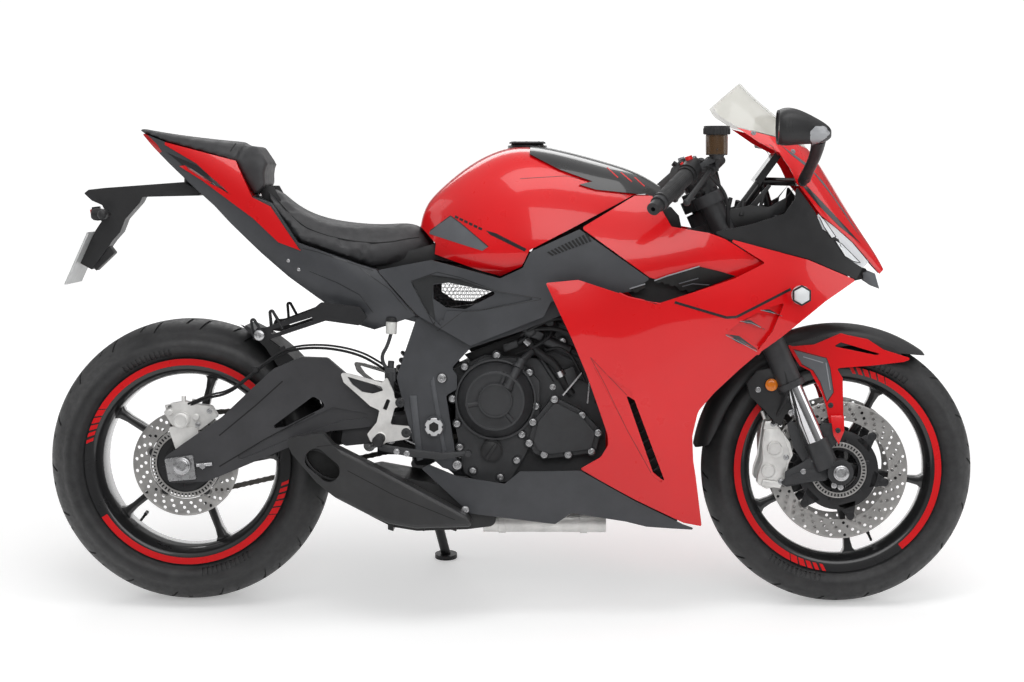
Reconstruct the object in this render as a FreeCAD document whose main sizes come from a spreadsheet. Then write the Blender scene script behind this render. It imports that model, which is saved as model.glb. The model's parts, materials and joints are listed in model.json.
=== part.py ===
import FreeCAD, Part

import math
import os

# A sport bike parked on its side stand, upright in its own drawing and leaned as a whole at the end.
# X points forwards, Y to the rider's left and Z up. Lengths are millimetres, angles degrees.

Vector = FreeCAD.Vector
Placement = FreeCAD.Placement
Rotation = FreeCAD.Rotation

doc = FreeCAD.newDocument("sport_bike")
sheet = doc.addObject("Spreadsheet::Sheet", "dims")

DRIVING_SIZES = [
    ("wheelbase", 1440),
    ("lean_angle", 10),
    ("box_middle_x", -7.5),
    ("box_middle_y", 182),
    ("front_tyre_radius", 300),
    ("front_tyre_width", 120),
    ("front_crown", 62),
    ("rear_tyre_radius", 315),
    ("rear_tyre_width", 184),
    ("rear_crown", 96),
    ("tyre_wall", 12),
    ("flange_radius", 230),
    ("rim_wall", 6),
    ("rim_well", 26),
    ("front_rim_width", 102),
    ("rear_rim_width", 156),
    ("spoke_count", 5),
    ("spoke_width", 30),
    ("spoke_depth", 34),
    ("hub_radius", 38),
    ("front_axle_radius", 14),
    ("rear_axle_radius", 15),
    ("axle_bore_radius", 9),
    ("axle_running_gap", 0.05),
    ("front_disc_radius", 152),
    ("rear_disc_radius", 117),
    ("disc_thickness", 5),
    ("front_disc_plane", 68),
    ("rear_disc_plane", 100),
    ("brake_gap", 2),
    ("rake_angle", 24),
    ("fork_spread", 105),
    ("yoke_offset", 28),
    ("axle_lead", 21),
    ("fork_outer_radius", 27),
    ("fork_inner_radius", 21.5),
    ("fork_rise", 48),
    ("beam_height", 584),
    ("fork_seal", 212),
    ("fork_foot", 84),
    ("lower_yoke_height", 455),
    ("upper_yoke_height", 650),
    ("yoke_thickness", 26),
    ("stem_radius", 15),
    ("head_tube_radius", 30),
    ("bearing_gap", 0.05),
    ("grip_radius", 17),
    ("pivot_x", -168),
    ("pivot_z", 402),
    ("arm_inner", 124),
    ("arm_outer", 150),
    ("chain_plane", 108),
    ("chain_width", 18),
    ("chain_pitch", 15.875),
    ("rear_sprocket_radius", 92),
    ("front_sprocket_radius", 41),
    ("chain_plate_height", 14),
    ("frame_inner", 128),
    ("frame_outer", 156),
    ("panel_wall", 4),
    ("engine_half_width", 118),
]


def fill_sheet():
    """Writes each driving size to its own named cell."""
    for row, (alias, value) in enumerate(DRIVING_SIZES, start=1):
        sheet.set(f"A{row}", alias)
        sheet.set(f"B{row}", str(value))
        sheet.setAlias(f"B{row}", alias)
    doc.recompute()


def size(alias):
    """The number in a named cell."""
    return float(sheet.get(alias))


fill_sheet()

LEAN = math.radians(size("lean_angle"))
RAKE = math.radians(size("rake_angle"))
REAR_AXLE = Vector(-size("wheelbase") / 2, 0, size("rear_tyre_radius"))
FRONT_AXLE = Vector(size("wheelbase") / 2, 0, size("front_tyre_radius"))
STEER_UP = Vector(-math.sin(RAKE), 0, math.cos(RAKE))
STEER_AHEAD = Vector(math.cos(RAKE), 0, math.sin(RAKE))
STEER_FOOT = FRONT_AXLE - STEER_AHEAD * (size("yoke_offset") + size("axle_lead"))
LEFT = Vector(0, 1, 0)
RIGHT_AND_LEFT = (-1, 1)
STAND_AXIS = Vector(0.2196, 0.8309, 0.4683).normalize()
ACROSS = 600
SEAT_GAP = 0.3
DRAWN_WHEELBASE = 1440.0
STRETCH_TO = 300.0

# The tyres' round crowns carry the leaned bike, so it stands a little lower than it does upright.
STANCE = Placement(
    Vector(-size("box_middle_x"), -size("box_middle_y"), size("rear_crown") * (1 - math.cos(LEAN))),
    Rotation(Vector(1, 0, 0), -size("lean_angle")),
)

nodes = []


def along(x):
    """A drawn station's place at this wheelbase: the two ends keep with their axles and the middle stretches."""
    grown = (size("wheelbase") - DRAWN_WHEELBASE) / 2
    return x + grown * max(-1.0, min(1.0, x / STRETCH_TO))


def at(x, y, z):
    """A drawn point, at this wheelbase."""
    return Vector(along(x), y, z)


def stations(points):
    """Drawn points of a side outline, at this wheelbase."""
    return [(along(p[0]), *p[1:]) for p in points]


def near_front(points):
    """Drawn points given from the front axle, forwards and up."""
    return [(DRAWN_WHEELBASE / 2 + p[0], size("front_tyre_radius") + p[1], *p[2:]) for p in points]


def near_rear(points):
    """Drawn points given from the rear axle, forwards and up."""
    return [(p[0] - DRAWN_WHEELBASE / 2, size("rear_tyre_radius") + p[1], *p[2:]) for p in points]


def round_tyre(points, radius):
    """Offsets from an axle of points given by their angle above the horizon and their distance from the tread."""
    turned = []
    for degrees, out in points:
        a = math.radians(degrees)
        turned.append(((radius + out) * math.cos(a), (radius + out) * math.sin(a)))
    return turned


PIVOT = at(size("pivot_x"), 0, size("pivot_z"))
STAND_PIVOT = at(-218, 176, 300)


def keep(piece, label, local=Placement()):
    """Names a finished sub-part, leans it with the bike and lists it for export."""
    piece.Label = label
    piece.Placement = STANCE.multiply(local)
    nodes.append(piece)
    return piece


def feature(label, shape):
    """A sub-part whose shape comes from surfaces or several solids that don't touch."""
    piece = doc.addObject("Part::Feature", label)
    piece.Shape = shape
    return keep(piece, label, shape.Placement)


def outline(points, radius=0.0):
    """Lines and corner arcs of a closed outline. A point may carry its own corner radius as a third number."""
    count = len(points)
    corners = []
    for i, point in enumerate(points):
        here = Vector(point[0], point[1], 0)
        back = Vector(*points[i - 1][:2], 0) - here
        ahead = Vector(*points[(i + 1) % count][:2], 0) - here
        r = point[2] if len(point) > 2 else radius
        turn = back.getAngle(ahead)
        if r <= 0 or turn > math.pi - 0.02:
            corners.append((here, here, here))
            continue
        reach = r / math.tan(turn / 2)
        reach = min(reach, 0.45 * back.Length, 0.45 * ahead.Length)
        r = reach * math.tan(turn / 2)
        back.normalize()
        ahead.normalize()
        towards = back + ahead
        towards.normalize()
        middle = here + towards * (r / math.sin(turn / 2) - r)
        corners.append((here + back * reach, middle, here + ahead * reach))
    edges = []
    for i, (start, middle, end) in enumerate(corners):
        if start.distanceToPoint(end) > 1e-6:
            edges.append(Part.Arc(start, middle, end))
        following = corners[(i + 1) % count][0]
        if end.distanceToPoint(following) > 1e-6:
            edges.append(Part.LineSegment(end, following))
    return edges


def side_face(points, radius=0.0, y=0.0):
    """A flat face in the side view, at distance y to the left."""
    wire = Part.Wire([edge.toShape() for edge in outline(stations(points), radius)])
    wire.Placement = Placement(Vector(0, y, 0), Rotation(Vector(1, 0, 0), 90))
    return Part.Face(wire)


def prism(points, y_from, y_to, radius=0.0):
    """A plate cut to a side outline, between two distances to the left."""
    return side_face(points, radius, y_from).extrude(Vector(0, y_to - y_from, 0))


def both_sides(points, inner, outer, radius=0.0):
    """The same plate on the right and on the left."""
    return Part.makeCompound([prism(points, s * inner, s * outer, radius) for s in RIGHT_AND_LEFT])


def rod(start, end, radius):
    """A round bar between two points."""
    span = end - start
    return Part.makeCylinder(radius, span.Length, start, span)


def tube(start, end, radius, bore):
    """A round bar with a through bore."""
    return rod(start, end, radius).cut(rod(start, end, bore))


def mirrored(shape):
    """The same shape on the other side of the bike."""
    return shape.mirror(Vector(0, 0, 0), LEFT)


def pair(shape):
    """A right-hand shape together with its left-hand twin."""
    return Part.makeCompound([shape, mirrored(shape)])


def fused(shapes):
    """One solid from shapes that overlap."""
    return shapes[0].multiFuse(shapes[1:]).removeSplitter()


def pipe(points, radius, bend):
    """A round pipe along straight runs joined by bends."""
    vertices = [at(*p) for p in points]
    edges = []
    start = vertices[0]
    for before, here, after in zip(vertices, vertices[1:], vertices[2:]):
        back = (before - here).normalize()
        ahead = (after - here).normalize()
        turn = back.getAngle(ahead)
        reach = bend / math.tan(turn / 2)
        towards = (back + ahead).normalize()
        middle = here + towards * (bend / math.sin(turn / 2) - bend)
        edges.append(Part.makeLine(start, here + back * reach))
        edges.append(Part.Arc(here + back * reach, middle, here + ahead * reach).toShape())
        start = here + ahead * reach
    edges.append(Part.makeLine(start, vertices[-1]))
    path = Part.Wire(edges)
    ring = Part.Wire(Part.makeCircle(radius, vertices[0], vertices[1] - vertices[0]))
    return path.makePipeShell([ring], True, True)


def new_body(label):
    return doc.addObject("PartDesign::Body", label)


def sketch_on(body, name, role, geometry, offset=0.0):
    """A sketch on one of the body's own origin planes."""
    sketch = body.newObject("Sketcher::SketchObject", name)
    plane = next(f for f in body.Origin.OriginFeatures if f.Role == role)
    sketch.AttachmentSupport = [(plane, "")]
    sketch.MapMode = "FlatFace"
    sketch.AttachmentOffset = Placement(Vector(0, 0, offset), Rotation())
    sketch.addGeometry(geometry, False)
    return sketch


def pad(body, sketch, name, length, midplane=False, reverse=False):
    """A pad whose length is an expression of the sheet."""
    made = body.newObject("PartDesign::Pad", name)
    made.Profile = sketch
    made.setExpression("Length", length)
    made.Midplane = midplane
    made.Reversed = reverse
    sketch.Visibility = False
    return made


def revolve(body, sketch, name):
    """A full turn about the sketch's upright axis, which is the wheel's axle."""
    made = body.newObject("PartDesign::Revolution", name)
    made.Profile = sketch
    made.ReferenceAxis = (sketch, ["V_Axis"])
    made.Angle = 360
    return made


def polar(body, originals, name, count, role="Y_Axis"):
    """Copies of features spread evenly about the body's axle."""
    made = body.newObject("PartDesign::PolarPattern", name)
    axis = next(f for f in body.Origin.OriginFeatures if f.Role == role)
    made.Originals = originals
    made.Axis = (axis, [""])
    made.Angle = 360
    made.setExpression("Occurrences", count)
    body.Tip = made
    return made


def circle(x, y, radius):
    return Part.Circle(Vector(x, y, 0), Vector(0, 0, 1), radius)


# Wheels. Each is drawn with its axle along Y through the body's own origin.


def tyre(label, radius, width, crown, rim_width, axle):
    """A hollow tyre: a round crown, two bulged side walls and the beads on the rim's seats."""
    wall = size("tyre_wall")
    half = width / 2
    edge = 0.8 * half
    shoulder = radius - crown + math.sqrt(crown**2 - edge**2)
    lip = (size("flange_radius") + 3, rim_width / 2 - 5)
    toe = (size("flange_radius") - 14 + SEAT_GAP, rim_width / 2 - 9)
    bulge = (shoulder + lip[0]) / 2

    def point(r, y):
        return Vector(r, y, 0)

    lines = [
        Part.Arc(point(shoulder, -edge), point(radius, 0), point(shoulder, edge)),
        Part.Arc(point(shoulder - 9, -edge + 8), point(radius - wall, 0), point(shoulder - 9, edge - 8)),
    ]
    for s in RIGHT_AND_LEFT:
        lines.append(Part.Arc(point(shoulder, s * edge), point(bulge, s * half), point(lip[0], s * lip[1])))
        lines.append(Part.LineSegment(point(lip[0], s * lip[1]), point(toe[0], s * toe[1])))
        lines.append(Part.LineSegment(point(toe[0], s * toe[1]), point(toe[0], s * (toe[1] - 8))))
        lines.append(Part.LineSegment(point(toe[0], s * (toe[1] - 8)), point(lip[0], s * (lip[1] - 9))))
        inner_wall = Part.Arc(point(lip[0], s * (lip[1] - 9)), point(bulge, s * (half - 9)), point(shoulder - 9, s * (edge - 8)))
        lines.append(inner_wall)
    body = new_body(label)
    revolve(body, sketch_on(body, label + "_profile", "XY_Plane", lines), label + "_ring")
    return keep(body, label, Placement(axle, Rotation()))


def rim(label, width, hub_right, hub_left, axle, axle_radius, turn):
    """A cast wheel: a barrel with a well, tapered spokes and a bored hub."""
    half = width / 2
    flange = size("flange_radius")
    wall = size("rim_wall")
    seat = flange - 14
    well = seat - size("rim_well")
    barrel = [
        (flange, half), (flange, half - 4), (seat, half - 8), (seat, half * 0.62), (well, half * 0.34),
        (well, -half * 0.34), (seat, -half * 0.62), (seat, 8 - half), (flange, 4 - half), (flange, -half),
        (seat - wall, -half), (seat - wall, -half * 0.7), (well - wall, -half * 0.42),
        (well - wall, half * 0.42), (seat - wall, half * 0.7), (seat - wall, half),
    ]
    body = new_body(label)
    revolve(body, sketch_on(body, label + "_barrel_profile", "XY_Plane", outline(barrel, 2)), label + "_barrel")
    bore = axle_radius + size("axle_running_gap")
    hub = size("hub_radius")
    hub_profile = [
        (bore, hub_left), (hub + 12, hub_left), (hub + 12, hub_left - 7), (hub, hub_left - 16), (hub, 16 - hub_right),
        (hub + 12, 7 - hub_right), (hub + 12, -hub_right), (bore, -hub_right),
    ]
    revolve(body, sketch_on(body, label + "_hub_profile", "XY_Plane", outline(hub_profile, 0)), label + "_hub")
    foot = size("spoke_width") / 2
    spoke = [
        (hub - 12, foot + 3), (hub + 30, foot), (well - 40, foot * 0.72), (well - wall * 0.6, foot * 1.5),
        (well - wall * 0.6, -foot * 1.5), (well - 40, -foot * 0.72), (hub + 30, -foot), (hub - 12, -foot - 3),
    ]
    blade = sketch_on(body, label + "_spoke_profile", "XZ_Plane", outline(spoke, 6))
    arm = pad(body, blade, label + "_spoke", "dims.spoke_depth", midplane=True)
    polar(body, [arm], label + "_spokes", "dims.spoke_count")
    return keep(body, label, Placement(axle, Rotation(LEFT, turn)))


def disc_shape(radius, plane, carrier_radius, arms):
    """A brake disc: a braking ring joined by bobbins to a lighter carrier with open arms."""
    thick = size("disc_thickness")
    ring_in = radius - 36
    start = Vector(0, plane - thick / 2, 0)
    ring = Part.makeCylinder(radius, thick, start, LEFT).cut(Part.makeCylinder(ring_in, thick, start, LEFT))
    hub = Part.makeCylinder(carrier_radius, thick, start, LEFT)
    hub = hub.cut(Part.makeCylinder(size("hub_radius") - 2, thick, start, LEFT))
    arm = Part.makeBox(ring_in - carrier_radius + 12, thick, 16, Vector(carrier_radius - 6, start.y, -8))
    solids = [ring, hub]
    for i in range(arms):
        turned = arm.copy()
        turned.rotate(Vector(0, 0, 0), LEFT, 360.0 * i / arms)
        solids.append(turned)
    return fused(solids)


def moved(shape, where):
    shape = shape.copy()
    shape.translate(where)
    return shape


def sprocket_shape():
    """The rear sprocket: low teeth that stay inside the chain's plates, with open windows."""
    pitch = size("rear_sprocket_radius")
    thick = 7.0
    start = Vector(0, size("chain_plane") - thick / 2, 0)
    plate = Part.makeCylinder(pitch - 8.5, thick, start, LEFT)
    plate = plate.cut(Part.makeCylinder(size("rear_axle_radius") + 1, thick, start, LEFT))
    for i in range(6):
        angle = math.radians(60 * i)
        middle = Vector(57 * math.cos(angle), start.y, 57 * math.sin(angle))
        plate = plate.cut(Part.makeCylinder(14, thick, middle, LEFT))
    depth = 24 - thick / 2
    carrier = Part.makeCylinder(40, depth, Vector(0, start.y - depth, 0), LEFT)
    carrier = carrier.cut(Part.makeCylinder(size("rear_axle_radius") + 1, depth, Vector(0, start.y - depth, 0), LEFT))
    return fused([plate, carrier])


def make_wheels():
    front_width, rear_width = size("front_rim_width"), size("rear_rim_width")
    front_hub = size("front_disc_plane") - size("disc_thickness") / 2
    rear_hub = size("rear_disc_plane") - size("disc_thickness") / 2
    tyre("front_tyre", size("front_tyre_radius"), size("front_tyre_width"), size("front_crown"), front_width, FRONT_AXLE)
    tyre("rear_tyre", size("rear_tyre_radius"), size("rear_tyre_width"), size("rear_crown"), rear_width, REAR_AXLE)
    rim("front_rim", front_width, front_hub, front_hub, FRONT_AXLE, size("front_axle_radius"), -5)
    rim("rear_rim", rear_width, rear_hub, size("chain_plane") - 24, REAR_AXLE, size("rear_axle_radius"), -4)
    front = [disc_shape(size("front_disc_radius"), s * size("front_disc_plane"), 78, 10) for s in RIGHT_AND_LEFT]
    feature("front_discs", moved(Part.makeCompound(front), FRONT_AXLE))
    feature("rear_disc", moved(disc_shape(size("rear_disc_radius"), -size("rear_disc_plane"), 62, 5), REAR_AXLE))
    feature("rear_sprocket", moved(sprocket_shape(), REAR_AXLE))


# Steered front end, drawn along the raked steering axis.


def steer_point(up, ahead=0.0, left=0.0):
    """A point up the steering axis, ahead of it and to the left."""
    return STEER_FOOT + STEER_UP * up + STEER_AHEAD * ahead + LEFT * left


FORK_TOP = size("upper_yoke_height") + size("yoke_thickness") + size("fork_rise")


def make_axle(label, axle, radius, half_length):
    """A hollow axle across the bike: two cylinders bound to the sheet, one cut from the other."""
    bar = doc.addObject("Part::Cylinder", label + "_bar")
    bar.setExpression("Radius", radius)
    bar.Height = 2 * half_length
    bore = doc.addObject("Part::Cylinder", label + "_bore")
    bore.setExpression("Radius", "dims.axle_bore_radius")
    bore.Height = 2 * half_length
    cut = doc.addObject("Part::Cut", label)
    cut.Base = bar
    cut.Tool = bore
    return keep(cut, label, Placement(axle - LEFT * half_length, Rotation(Vector(1, 0, 0), -90)))


def yoke_plate(up, clamp_radius):
    """A triple clamp: an arrow plate with bosses round both fork tubes and the stem."""
    spread = size("fork_spread")
    thick = size("yoke_thickness")
    ahead = size("yoke_offset")
    right = [(-30, -30), (ahead - 6, -spread), (ahead + 14, -spread)]
    left = [(ahead + 14, spread), (ahead - 6, spread), (-30, 30)]
    corners = [*right, (36, 0), *left, right[0]]
    base = steer_point(up)
    wire = Part.makePolygon([base + STEER_AHEAD * a + LEFT * l for a, l in corners])
    plate = Part.Face(wire).extrude(STEER_UP * thick)
    bosses = []
    for s in RIGHT_AND_LEFT:
        foot = steer_point(up, ahead, s * spread)
        bosses.append(rod(foot, foot + STEER_UP * thick, clamp_radius))
    return fused([plate, rod(base, base + STEER_UP * thick, 30), *bosses])


def make_front_end():
    spread = size("fork_spread")
    ahead = size("yoke_offset")
    thick = size("yoke_thickness")
    outer = size("fork_outer_radius")
    low, high = size("lower_yoke_height"), size("upper_yoke_height")
    stem = rod(steer_point(low), steer_point(high + thick), size("stem_radius"))
    yokes = fused([yoke_plate(low, outer + 9), yoke_plate(high, outer + 8), stem])
    nut = rod(steer_point(high + thick), steer_point(high + thick + 14), 22)
    tubes, legs, feet = [], [], []
    for s in RIGHT_AND_LEFT:
        side = s * spread
        seal = steer_point(size("fork_seal"), ahead, side)
        tubes.append(rod(seal, steer_point(FORK_TOP, ahead, side), outer))
        tubes.append(rod(seal, seal + STEER_UP * 14, outer + 4))
        foot_top = steer_point(size("fork_foot"), ahead, side)
        legs.append(rod(foot_top, seal, size("fork_inner_radius")))
        feet.append(fork_foot(s, foot_top))
    feature("fork_yokes", fused([yokes, nut, *tubes]))
    feature("fork_legs", Part.makeCompound(legs))
    feature("fork_feet", Part.makeCompound(feet))
    make_axle("front_axle", FRONT_AXLE, "dims.front_axle_radius", spread + 34)
    make_handlebars()
    make_front_calipers()
    make_front_fender()


def fork_foot(s, foot_top):
    """A cast fork foot: the socket, the axle clamp, the caliper's arm and the mudguard's lug."""
    spread = size("fork_spread")
    ahead = size("yoke_offset")
    socket = rod(steer_point(20, ahead, s * spread), foot_top, 26)
    clamp = rod(FRONT_AXLE + LEFT * (s * (spread - 22)), FRONT_AXLE + LEFT * (s * (spread + 22)), 28)
    arm = [
        (-116, 104), (-106, 114), (-66, 66), (-40, 66), (-22, 26), (-10, 6), (-22, -14), (-116, -34), (-132, -26),
        (-78, 16), (-102, 54),
    ]
    arm = prism(near_front(arm), s * 94, s * 104, 5)
    hole = near_front([(-92, -14), (-54, 0), (-40, -8), (-60, -18)])
    arm = arm.cut(prism(hole, s * 90, s * 110, 3))
    lug = prism(near_front([(-56, 48), (-26, 42), (6, 74), (10, 92), (2, 104), (-40, 106)]), s * 82, s * 92, 4)
    foot = fused([socket, clamp, arm, lug])
    foot = foot.cut(rod(foot_top, foot_top + STEER_UP * 80, size("fork_inner_radius") + SEAT_GAP))
    return foot.cut(rod(FRONT_AXLE - LEFT * 200, FRONT_AXLE + LEFT * 200, size("front_axle_radius")))


def make_handlebars():
    """Clip-on bars clamped to the fork tubes, with grips, levers and the brake fluid pot."""
    spread = size("fork_spread")
    ahead = size("yoke_offset")
    clear = size("fork_outer_radius") + SEAT_GAP
    up = size("upper_yoke_height") + size("yoke_thickness") + 8
    grip_in = steer_point(up + 49, 1, -232)
    grip_out = grip_in + Vector(-66, -120, -62)
    run = (grip_out - grip_in).normalize()
    clamp_at = steer_point(up, ahead, -spread)
    collar = rod(clamp_at, clamp_at + STEER_UP * 30, size("fork_outer_radius") + 9)
    root = clamp_at + STEER_UP * 15 + Vector(-2, -30, 2)
    neck = rod(root, grip_in, 11)
    grip = rod(grip_in, grip_out, size("grip_radius"))
    flange = rod(grip_in, grip_in + run * 8, size("grip_radius") + 4)
    weight = rod(grip_out, grip_out + run * 24, 14).cut(rod(grip_out + run * 10, grip_out + run * 24, 5))
    switch = rod(grip_in - run * 40, grip_in - run * 1, 24)
    bar = fused([collar, neck, flange, grip, weight, switch])
    bar = bar.cut(rod(steer_point(400, ahead, -spread), steer_point(FORK_TOP + 20, ahead, -spread), clear))
    lever_root = grip_in - run * 12 + Vector(46, 0, 6)
    lever_tip = grip_out - run * 6 + Vector(58, 0, 2)
    pump = rod(lever_root + run * 6, lever_root - run * 52, 11)
    strap = rod(grip_in - run * 18, lever_root - run * 10, 9)
    lever = fused([rod(lever_root, lever_tip, 6), Part.makeSphere(8, lever_tip), pump, strap])
    feature("handlebars", pair(fused([bar, lever])))
    pot_base = grip_in + Vector(63, 10, 42)
    pot = Part.makeCylinder(23, 44, pot_base)
    lid = Part.makeCylinder(28, 18, pot_base + Vector(0, 0, 44))
    stalk = rod(pot_base + Vector(0, 0, -34), pot_base, 5)
    pot = fused([pot, lid, stalk]).cut(rod(lever_root + run * 10, lever_root - run * 60, 11 + SEAT_GAP))
    feature("fluid_pot", pot)


def make_front_calipers():
    """Radial calipers astride the discs, bolted flat to the inner faces of the fork feet's arms."""
    plane = size("front_disc_plane")
    gap = size("disc_thickness") / 2 + size("brake_gap")
    block = [
        (-156, 108), (-142, 112), (-129, 90), (-109, 63), (-102, 36), (-111, 18), (-120, -17), (-129, -33),
        (-160, -40), (-180, -29), (-178, -9), (-169, 18), (-165, 50), (-160, 85),
    ]
    solid = prism(near_front(block), -(plane - 24), -94, 6)
    slot = Part.makeCylinder(size("front_disc_radius") + 6, gap * 2, FRONT_AXLE - LEFT * (plane + gap), LEFT)
    solid = solid.cut(slot)
    pistons = []
    for dx, dz in ((-150, -4), (-139, 44)):
        centre = FRONT_AXLE + Vector(dx, -93, dz)
        pistons.append(rod(centre, centre - LEFT * 7, 15))
    feature("front_calipers", pair(fused([solid, *pistons])))


def make_front_fender():
    """A domed mudguard hugging the tyre's crown, with cheeks that reach down to the fork feet."""
    radius = size("front_tyre_radius")
    profile = [(-16, 75.5), (2, 73), (14, 56), (20, 28), (21.5, 0)]
    outer = [(y, radius + r) for r, y in profile] + [(-y, radius + r) for r, y in reversed(profile[:-1])]
    inner = [(y * 0.945, r - 4) for y, r in outer]
    rings = []
    for rim_points in (outer, inner):
        curve = Part.BSplineCurve()
        curve.interpolate([Vector(r, y, 0) for y, r in rim_points])
        rings.append(curve.toShape())
    ends = [
        Part.makeLine(rings[0].Vertexes[0].Point, rings[1].Vertexes[0].Point),
        Part.makeLine(rings[0].Vertexes[-1].Point, rings[1].Vertexes[-1].Point),
    ]
    face = Part.Face(Part.Wire([rings[0], ends[1], rings[1], ends[0]]))
    dome = face.revolve(Vector(0, 0, 0), LEFT, 360)
    dome = moved(dome, FRONT_AXLE)
    keeper = [
        (53, 16), (56, 30), (75, 60), (110, 60), (150, 60), (168, 40), (171.5, 18), (169, -8), (150, -22),
        (120, -24), (90, -24), (62, -8),
    ]
    keeper = near_front(round_tyre(keeper, radius))
    band = dome.common(prism(keeper, -ACROSS, ACROSS, 0))
    skirt = [(113, 2), (99, -2), (84, -2), (67, -4), (60, -12), (66, -22), (84, -22), (98, -30), (113, -22)]
    skirts = [prism(near_front(round_tyre(skirt, radius)), s * 66, s * 77) for s in RIGHT_AND_LEFT]
    bracket = [(-205, 195), (-186, 226), (-146, 240), (-128, 206), (-109, 157), (-102, 126), (-124, 126), (-145, 108), (-198, 166)]
    stays = [prism(near_front(bracket), s * 70, s * 74.5, 8) for s in RIGHT_AND_LEFT]
    feature("front_fender", fused([band, *skirts, *stays]))
    cheek = [
        (-115, 278), (-103, 274), (-56, 278), (2, 303), (16, 299), (61, 290), (96, 267), (159, 247), (141, 240),
        (74, 232), (7, 227), (-6, 225), (7, 204), (9, 124), (10, 88), (-4, 62), (-16, 79), (-22, 106), (-29, 142),
        (-38, 169), (-65, 220), (-87, 231), (-101, 251),
    ]
    slot = [(-13, 274), (2, 283), (90, 257), (79, 255)]
    cheeks = []
    for s in RIGHT_AND_LEFT:
        plate = prism(near_front(cheek), s * 77, s * 82, 3)
        cheeks.append(plate.cut(prism(near_front(slot), s * 70, s * 90, 2)))
    feature("fender_cheeks", Part.makeCompound(cheeks))


# Chassis


def beam_end(left, up):
    """Where a frame beam meets the head tube."""
    return steer_point(size("beam_height")) + Vector(0, left, up)


def tail_tongues():
    """The two bars behind the frame's plates that carry the tail."""
    return [(at(-190, s * 142, 634), at(-262, s * 142, 652)) for s in RIGHT_AND_LEFT]


def make_frame():
    """Twin beams from the head tube to the swingarm pivot plates."""
    inner, outer = size("frame_inner"), size("frame_outer")
    plate = [
        (-206, 640), (-250, 510), (-240, 330), (-226, 286), (-196, 286), (-150, 312), (-110, 300), (-122, 340),
        (-142, 470), (-118, 484), (-118, 514), (-130, 530), (-88, 574), (20, 610), (262, 706), (262, 806),
        (120, 700), (-60, 660),
    ]
    plain_plate = [plate[0], plate[1], (-215, 370), *plate[5:]]
    low, high = size("lower_yoke_height") + size("yoke_thickness") + 6, size("upper_yoke_height") - 6
    solids = [rod(steer_point(low), steer_point(high), size("head_tube_radius"))]
    for s in RIGHT_AND_LEFT:
        solids.append(prism(plate if s > 0 else plain_plate, s * inner, s * outer, 8))
        start = [at(238, s * y, z) for y, z in ((inner, 706), (outer, 706), (outer, 784), (inner, 784))]
        end = [beam_end(s * y, z) for y, z in ((6, -50), (24, -50), (24, 30), (6, 30))]
        ends = [Part.makePolygon([*corners, corners[0]]) for corners in (start, end)]
        solids.append(Part.makeLoft(ends, True, True))
        solids.append(rod(at(-128, s * size("engine_half_width"), 499), at(-128, s * outer, 499), 10))
        solids.append(rod(PIVOT + LEFT * (s * outer), PIVOT + LEFT * (s * (outer + 9)), 23))
    solids.append(rod(STAND_PIVOT - STAND_AXIS * 30, STAND_PIVOT - STAND_AXIS * 11, 14))
    solids.append(rod(STAND_PIVOT - STAND_AXIS * 20, STAND_PIVOT + STAND_AXIS * 14, 6))
    solids += [rod(start, end, 9) for start, end in tail_tongues()]
    solids.append(rod(at(-190, -inner - 4, 600), at(-190, inner + 4, 600), 14))
    solids.append(rod(PIVOT - LEFT * (inner + 4), PIVOT + LEFT * (inner + 4), 16))
    body = fused(solids)
    body = body.cut(rod(steer_point(low - 20), steer_point(high + 20), size("stem_radius") + size("bearing_gap")))
    for stalk in radiator_stalks():
        body = body.cut(rod(stalk[0], stalk[1], 8 + SEAT_GAP))
    feature("main_frame", body)


def radiator_stalks():
    """The two rods that hang the radiator from the frame's beams."""
    tops = [beam_end(s * 50, -38.6) - Vector(61.7, 0, 0) for s in RIGHT_AND_LEFT]
    return [(Vector(top.x, top.y, 670), top) for top in tops]


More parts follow.
